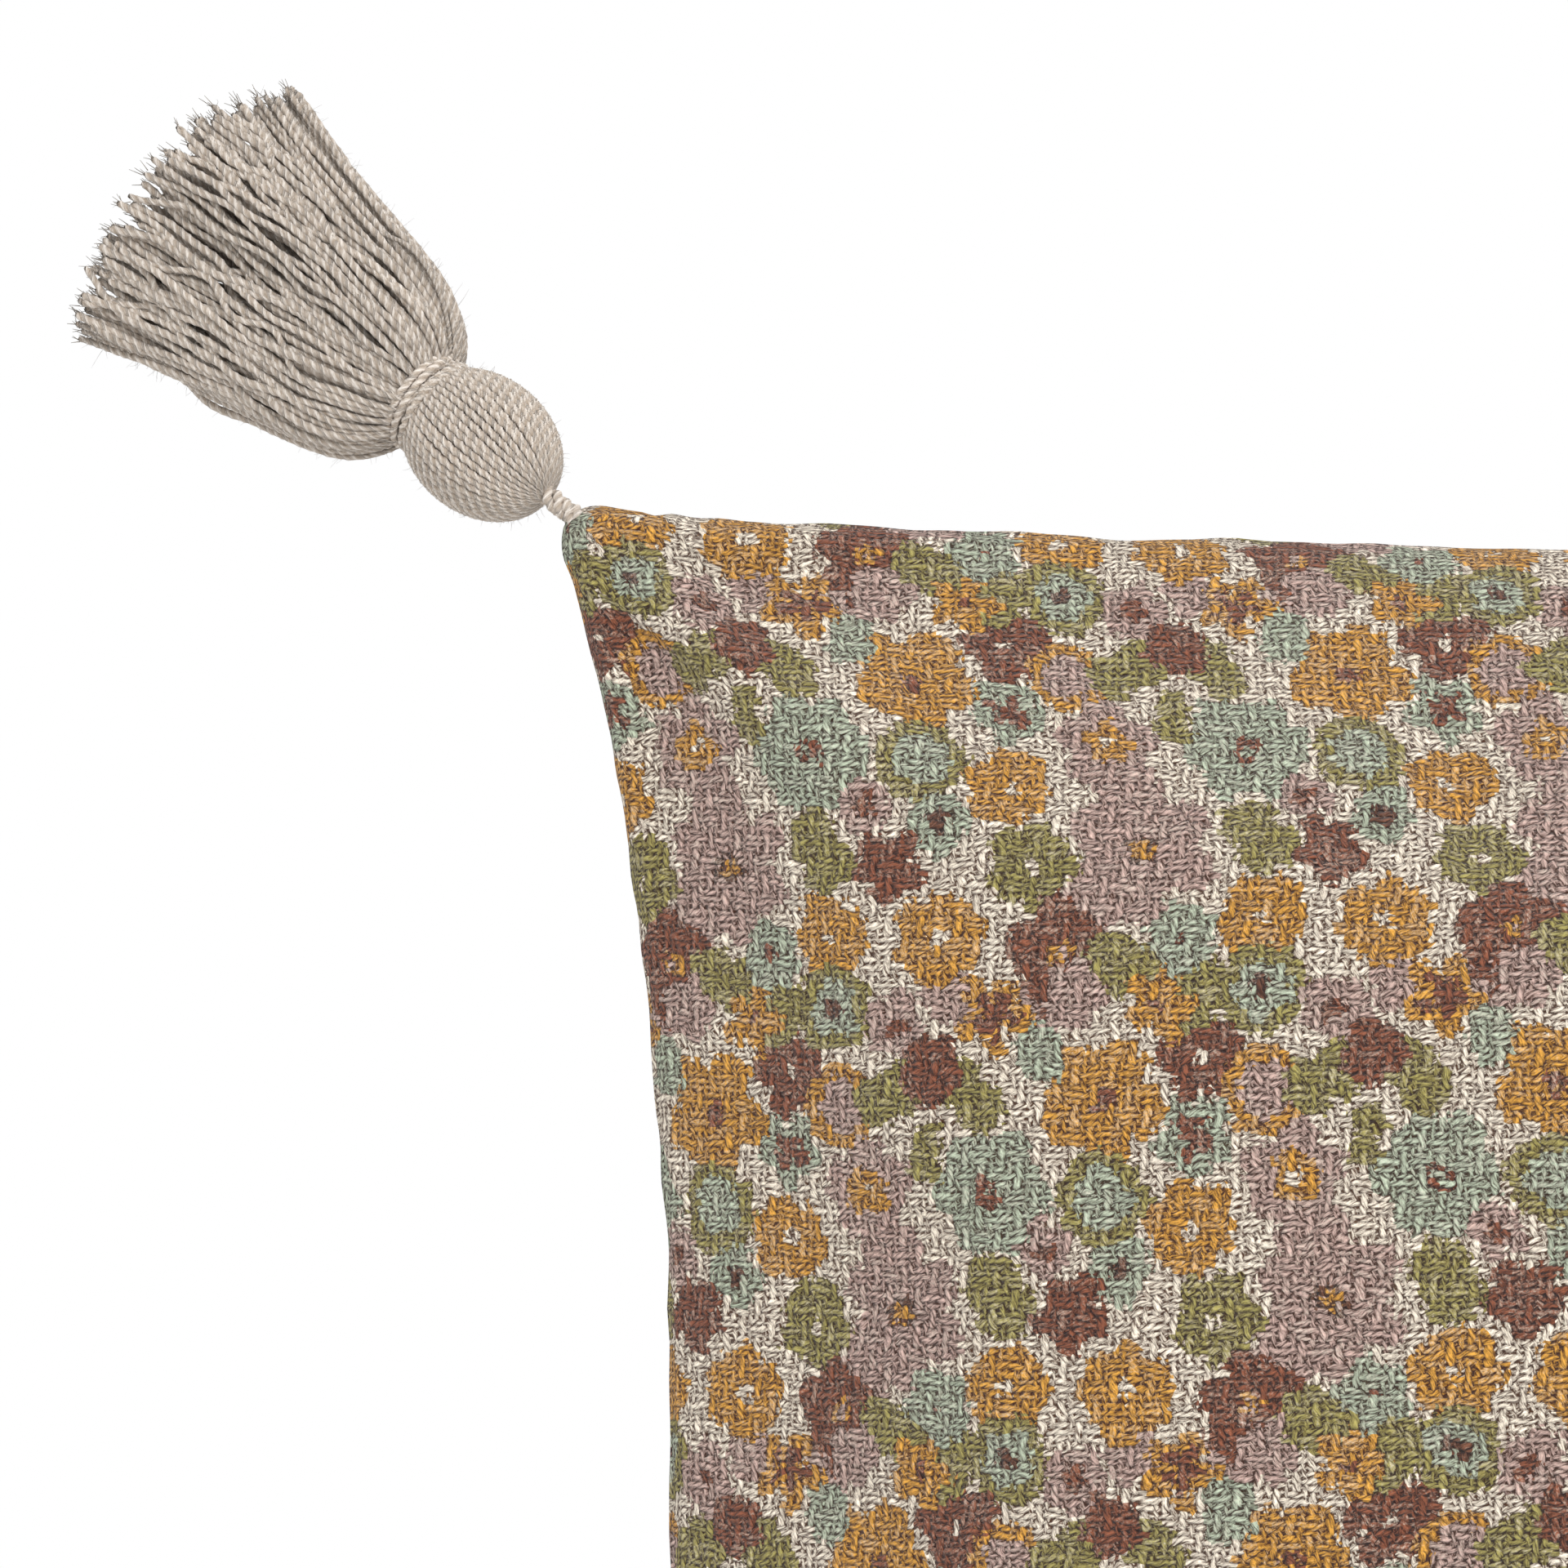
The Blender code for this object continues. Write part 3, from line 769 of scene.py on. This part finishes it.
def pucker(grids):
    """Puckers that fade out away from the seam, and soft lumps of the filling.

    The fade goes by a point's number in the grid, whose lines lie closer together near the seam,
    so along the cloth it is shorter than PUCKER_FADE.
    """
    u, v = np.meshgrid(
        np.linspace(-1, 1, grids.shape[1]), np.linspace(-1, 1, grids.shape[2]), indexing="ij"
    )
    from_edge = np.minimum(COVER["half_x"] * (1 - np.abs(u)), COVER["half_y"] * (1 - np.abs(v)))
    near = np.exp(-from_edge / PUCKER_FADE)
    inside = 1 - np.exp(-from_edge / LUMP_START)
    for side, sign in ((0, 1.0), (1, -1.0)):
        grid = grids[side]
        plan = grid * (1, 1, 0)
        lift = wave_noise(plan, PUCKER_SIZE, side + 1) * WAVE_HEIGHT * near * inside ** 0.3
        lift += wave_noise(plan, LUMP_SIZE, side + 3) * WAVE_HEIGHT * inside
        rests = np.clip(grid[..., 2] / REST_FADE, 0, 1)
        grid[..., 2] += sign * lift * rests
    border = on_border(grids.shape[1:3])
    seam = grids[0][border] * (1, 1, 0)
    sway = np.stack([wave_noise(seam, LONG_SWAY, seed) for seed in (5, 6, 7)], -1)
    sway += np.stack([wave_noise(seam, SHORT_SWAY, seed) for seed in (8, 9, 10)], -1) * 0.7
    for side in (0, 1):
        grids[side][border] += sway * SEAM_SWAY
    return grids


def cloth_places(grid):
    """Place on the cloth of each point, in millimetres, measured along the grid's lines."""
    places = []
    for axis in (0, 1):
        lines = np.moveaxis(grid, axis, 0)
        steps = np.linalg.norm(np.diff(lines, axis=0), axis=-1)
        lengths = np.concatenate([np.zeros((1,) + steps.shape[1:]), np.cumsum(steps, 0)])
        lengths = lengths - lengths[len(lengths) // 2]
        places.append(np.moveaxis(lengths, 0, axis) / MM)
    return np.stack(places, -1)


def fit_to_box(grids):
    """Scale the simulated form to the CAD cover: its plan, its top and its flat base."""
    halves = (COVER["half_x"] - ROUND_LOSS_X, COVER["half_y"] - ROUND_LOSS_Y)
    for axis, half in enumerate(halves):
        grids[..., axis] *= half / np.abs(grids[..., axis]).max()
    front = grids[0]
    front[..., 2] = COVER["seam"] + (front[..., 2] - COVER["seam"]) * (
        (COVER["top"] - COVER["seam"]) / (front[..., 2].max() - COVER["seam"])
    )
    grids[1][..., 2] = np.maximum(grids[1][..., 2], 0.3 * MM)
    return grids


def open_slit(grids):
    """Part the two panels along the zip, and return the turned-in lips' points."""
    reach = COVER["half_x"] * SLIT_SHARE
    opening = SLIT_HALF * np.clip((reach - np.abs(grids[0][:, 0, 0])) / (6 * MM), 0, 1)
    grids[0][:, 0, 2] += opening
    grids[1][:, 0, 2] -= opening
    return opening > 0


def build_cover(grids, looks):
    """The cover's mesh with sharp seams, zip lips and the cloth's own coordinates."""
    slit = open_slit(grids)
    lips = []
    for side in (0, 1):
        edge = grids[side][slit, 0]
        lips.append(np.stack([edge + (0.0, depth, 0.0) for depth in LIP_DEPTHS], 1))
    separate = ~on_border(grids.shape[1:3])
    separate[slit, 0] = True
    front, back = number_points(separate)
    points = [grids[0].reshape(-1, 3), grids[1][separate]]
    start = front.size + separate.sum()
    faces, corner_places, slots = [], [], []
    for side, number in enumerate((front, back)):
        places = cloth_places(grids[side])
        lip_shape = lips[side].shape[:2]
        lip_number = start + np.arange(np.prod(lip_shape)).reshape(lip_shape)
        start += lip_number.size
        points.append(lips[side].reshape(-1, 3))
        lip_number = np.concatenate([lip_number[:, ::-1], number[slit, 0][:, None]], 1)
        edge_place = places[slit, 0]
        depths = [(0.0, depth / MM) for depth in reversed((0.0,) + LIP_DEPTHS)]
        lip_place = np.stack([edge_place - depth for depth in depths], 1)
        for numbers, spots in ((number, places), (lip_number, lip_place)):
            quads = grid_quads(numbers)
            where = np.stack([n.reshape(-1, 2) for n in cell_corners(spots)], 1)
            if side == 1:
                quads, where = quads[:, ::-1], where[:, ::-1]
            faces.append(quads)
            corner_places.append(where.reshape(-1, 2))
            slots.append(np.full(len(quads), side))
    mesh = bpy.data.meshes.new("cushion_cover")
    mesh.from_pydata(np.concatenate(points).tolist(), [], np.concatenate(faces).tolist())
    where = np.concatenate(corner_places)
    where = np.concatenate([where, np.zeros((len(where), 1))], 1)
    note_places(mesh, "cloth_mm", "CORNER", where)
    mesh.polygons.foreach_set("material_index", np.concatenate(slots))
    for look in looks:
        mesh.materials.append(look)
    mesh.shade_smooth()
    mesh.set_sharp_from_angle(angle=math.radians(70))
    return add_object("cushion_cover", mesh)


def keep_off_seam(grids):
    """Hold both panels off the seam plane, so that the zip and the label fit between them."""
    depth = np.clip(seam_distance(grids), 0, SEAM_ROOM)
    room = np.sqrt(depth * (2 * SEAM_ROOM - depth))
    grids[0][..., 2] = np.maximum(grids[0][..., 2], COVER["seam"] + room)
    grids[1][..., 2] = np.minimum(grids[1][..., 2], COVER["seam"] - room)
    return grids


def make_insert(grids, casing_look, fill_look):
    """The casing and the filling, which have the cover's form a little smaller."""
    middle = np.array((0.0, 0.0, COVER["seam"]))
    panels = ("insert_casing_front", "insert_casing_back")
    layers = (
        ("insert_casing", CASING_SCALE, casing_look, panels, "casing"),
        ("insert_filling", FILL_SCALE, fill_look, ("insert_fill",), "fill"),
    )
    for name, scale, look, replaced, slot_name in layers:
        mesh, _, _ = grid_mesh(middle + (grids - middle) * scale, name)
        mesh.materials.append(look)
        mesh.shade_smooth()
        piece = add_object(name, mesh)
        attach(piece, "cover")
        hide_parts(*replaced)


def make_cushion(looks, casing_look, fill_look):
    grids = cover_grids()
    grids = inflate(grids)
    grids = keep_off_seam(fit_to_box(grids))
    make_insert(grids, casing_look, fill_look)
    grids = np.array([refined(grid, REFINE) for grid in grids])
    grids = pucker(grids)
    cover = build_cover(grids, looks)
    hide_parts("cover_front", "cover_back")
    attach(cover, "cover")


# ---- yarn ----

def unit(vectors):
    return vectors / np.maximum(np.linalg.norm(vectors, axis=-1, keepdims=True), 1e-9)


def yarn_mesh(name, bundles, look):
    """A mesh of twisted yarns in millimetres; a bundle is (paths, radii, turn length, sides, up)."""
    points, faces, notes = [], [], []
    start = 0
    for seed, (paths, radii, turn_length, sides, up) in enumerate(bundles):
        count, stations = paths.shape[:2]
        along = unit(np.gradient(paths, axis=1))
        steps = np.linalg.norm(np.diff(paths, axis=1), axis=-1)
        distance = np.concatenate([np.zeros((count, 1)), np.cumsum(steps, 1)], 1)
        normal = unit(up - (up * along).sum(-1, keepdims=True) * along)
        side = np.cross(along, normal)
        ring = 2 * np.pi * np.arange(sides) / sides
        lobes = 1 - PLY_DENT * np.sin(ring) ** 2
        phase = np.arange(count)[:, None] * 2.4
        angle = (2 * np.pi * distance / turn_length + phase)[..., None] + ring
        reach = radii[..., None] * lobes
        offset = (np.cos(angle) * reach)[..., None] * normal[:, :, None]
        offset += (np.sin(angle) * reach)[..., None] * side[:, :, None]
        points.append((paths[:, :, None] + offset).reshape(-1, 3))
        index = start + np.arange(count * stations * sides).reshape(count, stations, sides)
        start += index.size
        after = np.roll(index, -1, axis=2)
        quads = np.stack([index[:, :-1], after[:, :-1], after[:, 1:], index[:, 1:]], -1)
        faces += quads.reshape(-1, 4).tolist()
        faces += index[:, 0, ::-1].tolist() + index[:, -1].tolist()
        strand = np.arange(count)[:, None, None] + 1000.0 * seed
        note = np.stack(np.broadcast_arrays(distance[..., None], ring, strand), -1)
        notes.append(note.reshape(-1, 3))
    mesh = bpy.data.meshes.new(name)
    mesh.from_pydata((np.concatenate(points) * MM).tolist(), [], faces)
    note_places(mesh, "yarn", "POINT", np.concatenate(notes))
    mesh.materials.append(look)
    mesh.shade_smooth()
    return mesh


def smooth_random(rng, count, stations, knots):
    """Smooth random curves from about -1 to 1, shape (count, stations)."""
    values = rng.uniform(-1, 1, (count, knots))
    places = np.linspace(0, knots - 1, stations)
    first = np.minimum(places.astype(int), knots - 2)
    t = places - first
    t = t * t * (3 - 2 * t)
    return values[:, first] * (1 - t) + values[:, first + 1] * t


def skirt_form(share):
    """Half width and half height of the skirt, from its neck (0) to its ends (1)."""
    half_width = 8.4 + 10.6 * (1 - np.exp(-share / 0.085)) + 12.0 * share ** 1.3
    half_height = 8.0 + 6.0 * (1 - np.exp(-share / 0.12)) - 0.8 * share
    return half_width, half_height


def skirt_bundle(rng, count, inner, outer, stations, wander=1.0):
    """Strands that leave the neck and spread into an oval, with uneven cut ends."""
    theta = (np.arange(count) + rng.uniform(-0.3, 0.3, count)) / count * 2 * np.pi
    depth = rng.uniform(inner, outer, count)[:, None]
    length = rng.uniform(0.92, 1.01, count)[:, None]
    share = np.linspace(0, 1, stations)[None] * length
    half_width, half_height = skirt_form(share)
    lock = (np.arange(count) + rng.integers(-2, 3, count)) // STRANDS_PER_LOCK % count
    lean = rng.normal(0, 0.15, count)[:, None] + rng.normal(0, 0.13, count)[lock][:, None]
    lean = lean * wander
    angle = theta[:, None] + lean * share
    fade = np.clip(share * 2.2, 0, 1)
    sway = smooth_random(rng, count, stations, 5)[lock] * 1.5
    sway = (sway + smooth_random(rng, count, stations, 8) * 1.3) * fade * wander
    lift = smooth_random(rng, count, stations, 4)[lock] * 1.4
    lift = (lift + smooth_random(rng, count, stations, 6) * 0.9) * fade
    y = depth * half_width * np.cos(angle) + sway * np.abs(np.sin(angle))
    z = depth * half_height * np.sin(angle) + lift
    x = SKIRT_SPAN[0] - 3.0 + (SKIRT_SPAN[1] - SKIRT_SPAN[0] + 3.0) * share
    x = x - 6.0 * (y / 31.5) ** 2 * share ** 3
    radius = 0.50 + 0.30 * np.clip(share * 7, 0, 1)
    radius = radius * rng.uniform(0.88, 1.1, count)[:, None]
    radius[:, -1] *= 0.6
    return np.stack([x, y, z], -1), radius


def head_place(sweep):
    """Place along the tassel's axis, for an angle round the knot from its cord end."""
    share = (1 - np.cos(sweep)) / (1 - math.cos(math.radians(HEAD_SWEEP)))
    return HEAD_SPAN[0] + (HEAD_SPAN[1] - HEAD_SPAN[0]) * share


def head_bundle(rng, count, stations):
    """Yarns laid lengthwise over the knot, closing up at the cord and at the neck."""
    share = np.linspace(0.03, 1, stations)[None]
    sweep = math.radians(HEAD_SWEEP) * share
    reach = HEAD_RADIUS * np.sin(sweep)
    theta = np.arange(count)[:, None] / count * 2 * np.pi + 0.28 * share
    theta = theta + smooth_random(rng, count, stations, 5) * 0.022
    radius = np.minimum(0.86, np.pi * reach / count * 1.2)
    radius = np.broadcast_to(np.maximum(radius, 0.25), theta.shape)
    reach = reach - radius * 0.8
    x = np.broadcast_to(head_place(sweep), theta.shape)
    return np.stack([x, reach * np.cos(theta), reach * np.sin(theta)], -1), radius


def neck_bundle(rng, turns, stations):
    """One yarn wound round the neck, to and fro over itself."""
    share = np.linspace(0, 1, stations)[None]
    theta = share * turns * 2 * np.pi
    across = np.abs((share * 2.3) % 2.0 - 1.0)
    x = NECK_SPAN[0] + 0.7 + (NECK_SPAN[1] - NECK_SPAN[0] - 1.4) * across
    x = x + smooth_random(rng, 1, stations, turns * 3) * 0.7
    reach = NECK_RADIUS - 1.1 + 0.9 * share + smooth_random(rng, 1, stations, turns * 4) * 0.25
    return np.stack([x, reach * np.cos(theta), reach * np.sin(theta)], -1), np.full_like(share, 0.78)


def loop_bundle(rng, stations):
    """A stray yarn that bows out beside the neck and tucks back into the skirt."""
    share = np.linspace(0, 1, stations)[None]
    x = 35.5 + 30.0 * share
    bow = np.sin(np.pi * share)
    y = -(9.0 + 8.5 * share ** 0.6 + 5.5 * bow)
    z = 4.0 + 3.0 * bow + smooth_random(rng, 1, stations, 6) * 0.8
    return np.stack([x, y, z], -1), np.full_like(share, 0.5)


def cord_bundle(rng, span, stations):
    """Three yarns laid round one another along the tassel's axis."""
    x = np.linspace(*span, stations)[None]
    angle = 2 * np.pi * (x / CORD_LAY + np.arange(3)[:, None] / 3)
    angle = angle + smooth_random(rng, 3, stations, 6) * 0.4
    reach = 1.15 + smooth_random(rng, 3, stations, 6) * 0.2
    points = [np.broadcast_to(x, angle.shape), reach * np.cos(angle), reach * np.sin(angle)]
    return np.stack(points, -1), np.full(angle.shape, 1.05)


def fuzz_bundle(rng, paths, count, length, stations=4):
    """Fine fibres that stand off points picked from the paths."""
    strands = rng.integers(0, paths.shape[0], count)
    places = rng.integers(2, paths.shape[1] - 1, count)
    roots = paths[strands, places]
    outward = unit(roots * (0.0, 1.0, 1.0) + rng.normal(0, 3.0, (count, 3)))
    lean = unit(rng.normal(0, 1.0, (count, 3)))
    share = np.linspace(0, 1, stations)[None, :, None]
    reach = rng.uniform(0.5, 1.0, count)[:, None, None] * length
    points = roots[:, None] + outward[:, None] * (0.7 + reach * share)
    points = points + lean[:, None] * reach * 0.6 * share ** 2
    return points, np.broadcast_to(FUZZ_RADIUS * (1 - 0.7 * share[..., 0]), points.shape[:2])


def end_fibres(rng, paths, per_end):
    """The frayed fibres at the cut ends of the strands."""
    tips = np.repeat(paths[:, -1], per_end, axis=0)
    ways = np.repeat(unit(paths[:, -1] - paths[:, -6]), per_end, axis=0)
    count = len(tips)
    spread = unit(ways + rng.normal(0, 0.32, (count, 3)))
    share = np.linspace(0, 1, 4)[None, :, None]
    reach = rng.uniform(1.0, 3.2, count)[:, None, None]
    points = tips[:, None] + rng.normal(0, 0.35, (count, 1, 3)) - ways[:, None] * 0.6
    points = points + spread[:, None] * reach * share
    return points, np.broadcast_to(0.13 * (1 - 0.6 * share[..., 0]), points.shape[:2])


def laid_straight(bundle, turn_length=YARN_TURN, sides=YARN_SIDES):
    """A bundle for yarn_mesh, of yarns that lie along the tassel."""
    paths, radii = bundle
    return paths, radii, turn_length, sides, np.broadcast_to(np.array((0.1, 0.2, 1.0)), paths.shape)


def wrapped_round(bundle):
    """A bundle for yarn_mesh, of yarns that lie on the knot or round the neck."""
    paths, radii = bundle
    return paths, radii, YARN_TURN, YARN_SIDES, paths * (0.0, 1.0, 1.0)


def loose_fibres(bundle):
    return laid_straight(bundle, FIBRE_TURN, FIBRE_SIDES)


def tassel_yarns(seed):
    """The bundles of each part of one tassel."""
    rng = np.random.default_rng(seed)
    outer = skirt_bundle(rng, *OUTER_LAYER)
    inner = skirt_bundle(rng, *INNER_LAYER)
    middle = skirt_bundle(rng, *MIDDLE_LAYER)
    stray = skirt_bundle(rng, *STRAY_LAYER, wander=2.4)
    loop = loop_bundle(rng, 60)
    head = head_bundle(rng, HEAD_YARNS, 80)
    neck = neck_bundle(rng, NECK_TURNS, 900)
    fuzz = fuzz_bundle(rng, outer[0], 900, 2.6)
    ends = end_fibres(rng, outer[0], 5)
    inner_ends = end_fibres(rng, inner[0], 4)
    head_fuzz = fuzz_bundle(rng, head[0], 260, 1.6)
    cord = cord_bundle(rng, CORD_SPAN, 50)
    root = cord_bundle(rng, ROOT_SPAN, 40)
    inside = [laid_straight(inner), laid_straight(middle)]
    return {
        "skirt": [laid_straight(outer), laid_straight(stray), laid_straight(loop, LOOP_TURN)],
        "skirt_inside": inside + [loose_fibres(bundle) for bundle in (fuzz, ends, inner_ends)],
        "head": [wrapped_round(head), loose_fibres(head_fuzz)],
        "binding": [wrapped_round(neck)],
        "cord": [laid_straight(cord, CORD_TURN, CORD_SIDES)],
        "cord_root": [laid_straight(root, CORD_TURN, CORD_SIDES)],
    }


def tassel_place(corner):
    """Where a tassel's own axes lie: its axis leaves the corner outwards and downwards."""
    sign_x, sign_y = CORNERS[corner]
    heading = math.atan2(math.sin(TASSEL_AZIMUTH) * sign_y, -math.cos(TASSEL_AZIMUTH) * sign_x)
    turn = Matrix.Rotation(heading, 4, "Z") @ Matrix.Rotation(TASSEL_SLOPE, 4, "Y")
    return Matrix.Translation(cover_corner(corner)) @ turn


def make_tassel(corner, seed, yarn, painted_lit_yarn):
    """The pieces of one tassel, each riding on its own body."""
    place = tassel_place(corner)
    carriers = {"cord": f"cord_{corner}", "cord_root": "cover"}
    for part, bundles in tassel_yarns(seed).items():
        name = f"yarn_{part}_{corner}"
        # Skirt yarns get the copy with painted shade, the other parts the copy with painted light
        look = yarn if part.startswith("skirt") else painted_lit_yarn
        piece = add_object(name, yarn_mesh(name, bundles, look))
        piece.data.transform(place)
        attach(piece, carriers.get(part, f"tassel_{corner}"))
        if part not in ("skirt_inside", "cord_root"):
            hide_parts(f"tassel_{part}_{corner}")
        if part in ("head", "skirt"):
            add_core(part, corner, place, look)


def add_core(part, corner, place, look):
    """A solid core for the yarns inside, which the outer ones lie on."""
    sections = 14
    sides = 24
    if part == "head":
        sweep = np.linspace(0.12, 1.0, sections) * math.radians(HEAD_SWEEP)
        x = head_place(sweep)
        half_width = half_height = (HEAD_RADIUS - 1.3) * np.sin(sweep)
    else:
        share = np.linspace(0.0, 0.66, sections)
        x = SKIRT_SPAN[0] - 3.0 + (SKIRT_SPAN[1] - SKIRT_SPAN[0]) * share
        half_width, half_height = (half * 0.66 - 1.0 for half in skirt_form(share))
    angle = 2 * np.pi * np.arange(sides) / sides
    y = half_width[:, None] * np.cos(angle)
    z = half_height[:, None] * np.sin(angle)
    points = np.stack([np.broadcast_to(x[:, None], y.shape), y, z], -1)
    index = np.arange(sections * sides).reshape(sections, sides)
    after = np.roll(index, -1, axis=1)
    quads = np.stack([index[:-1], after[:-1], after[1:], index[1:]], -1).reshape(-1, 4)
    mesh = bpy.data.meshes.new(f"{part}_core_{corner}")
    rings = [index[0, ::-1].tolist(), index[-1].tolist()]
    mesh.from_pydata((points.reshape(-1, 3) * MM).tolist(), [], quads.tolist() + rings)
    note = np.stack(np.broadcast_arrays(x[:, None], angle * 30, 0.0), -1)
    note_places(mesh, "yarn", "POINT", note)
    mesh.materials.append(look)
    mesh.shade_smooth()
    mesh.transform(place)
    core = add_object(f"{part}_core_{corner}", mesh)
    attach(core, f"tassel_{corner}")


def cotton_yarn(name, painted_light_level):
    """Undyed two-ply cotton: painted shade in the grooves between the plies, fine fibres, a tone that
    differs from strand to strand and a painted light level.
    """
    made, tree, shader = new_material(name)
    distance, angle, strand = split(tree, mesh_places(tree, "yarn"))
    ridge = (angle.apply("SINE").apply("ABSOLUTE")) * -1.0 + 1.0
    fibres = noise_field(tree, join(tree, distance * 0.7, angle * 1.6, strand * 3.7), 1.6, 3.0, 0.65)
    tone = random_node(tree, join(tree, strand, 0.0, 0.0))
    # Random tone of each strand, times the painted light level of this copy of the yarn
    strand_tone_and_painted_light = Field(tree, tone.outputs["Value"]) * 0.20 + painted_light_level
    # Painted shade: the grooves between the plies darker, with the fibres' own streaks
    light = (ridge * 0.45 + fibres * 1.2 - 0.36).between(0.0, 0.95)
    shade = mix_colour(tree, light, colour(166, 149, 131), colour(244, 236, 227))
    tree.links.new(scaled(tree, shade, strand_tone_and_painted_light), shader.inputs["Base Color"])
    set_values(shader, Roughness=0.9, Specular_IOR_Level=0.15, Sheen_Weight=0.2)
    set_bump(tree, shader, ridge * 0.5 + fibres, 0.35 * MM)
    return made


# ---- stage ----

def make_stage():
    bpy.ops.mesh.primitive_plane_add(size=40.0, location=(0.0, 0.0, -0.2 * MM))
    floor = bpy.context.object
    floor.name = "floor"
    made, _, shader = new_material("glowing_floor")
    set_values(
        shader,
        Base_Color=(0.0, 0.0, 0.0, 1.0),
        Specular_IOR_Level=0.0,
        Emission_Color=(1.0, 1.0, 1.0, 1.0),
        Emission_Strength=BACKDROP,
    )
    floor.data.materials.append(made)


def add_area_light(name, place, target, size, watts):
    light = bpy.data.lights.new(name, "AREA")
    light.size = size
    light.energy = watts
    lamp = add_object(name, light)
    lamp.location = place
    direction = Vector(target) - Vector(place)
    lamp.rotation_euler = direction.to_track_quat("-Z", "Y").to_euler()


def make_lights():
    world = bpy.data.worlds.new("studio")
    world.use_nodes = True
    background = world.node_tree.nodes["Background"]
    set_values(background, Color=(1.0, 1.0, 1.0, 1.0), Strength=BACKDROP)
    bpy.context.scene.world = world
    for light in LIGHTS:
        add_area_light(*light)
    bpy.context.scene.view_settings.view_transform = "Standard"


def make_camera():
    """Straight above the top left corner, as wide as the cushion's corner and its tassel."""
    camera = bpy.data.cameras.new("camera")
    camera.lens = 135
    camera.sensor_width = 36
    camera.clip_start = 0.05
    corner = cover_corner("top_left")
    height = VIEW_WIDTH * camera.lens / camera.sensor_width
    holder = add_object("camera", camera)
    holder.location = (corner.x + VIEW_CENTRE[0], corner.y + VIEW_CENTRE[1], corner.z + height)
    bpy.context.scene.camera = holder


def cover_corner(corner):
    sign_x, sign_y = CORNERS[corner]
    low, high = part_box("cover_front")
    return Vector((sign_x * (high.x - TIP_INSET), sign_y * (high.y - TIP_INSET), low.z))


# ---- main ----

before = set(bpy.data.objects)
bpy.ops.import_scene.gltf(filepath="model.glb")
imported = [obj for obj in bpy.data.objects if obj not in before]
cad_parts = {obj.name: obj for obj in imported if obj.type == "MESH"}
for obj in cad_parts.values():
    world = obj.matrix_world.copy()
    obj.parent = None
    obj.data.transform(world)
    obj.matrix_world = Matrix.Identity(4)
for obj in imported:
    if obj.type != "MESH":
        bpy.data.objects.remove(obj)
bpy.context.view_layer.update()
COVER = measure_cover()

make_camera()
make_stage()
make_lights()
weave = weave_group()
flowers = print_group()
front_cloth = printed_cotton("printed_cotton", weave, flowers, FRONT_PLACE)
back_cloth = printed_cotton("printed_cotton_back", weave, flowers, BACK_PLACE)
casing_cloth = plain_cloth("casing", colour(238, 236, 230), colour(196, 192, 184), 0.5)
filling = plain_cloth("fill", colour(246, 246, 244), colour(220, 220, 216), 3.0)
make_cushion([front_cloth, back_cloth], casing_cloth, filling)
dress_small_parts()
# One undyed cotton in two copies: the skirt's darker, as painted shade, the head's, binding's and
# cord's lighter, as painted light
yarn = cotton_yarn("tassel_cotton", 0.88)
painted_lit_yarn = cotton_yarn("tassel_cotton_painted_lit", 1.08)
for number, corner in enumerate(CORNERS):
    make_tassel(corner, number, yarn, painted_lit_yarn)
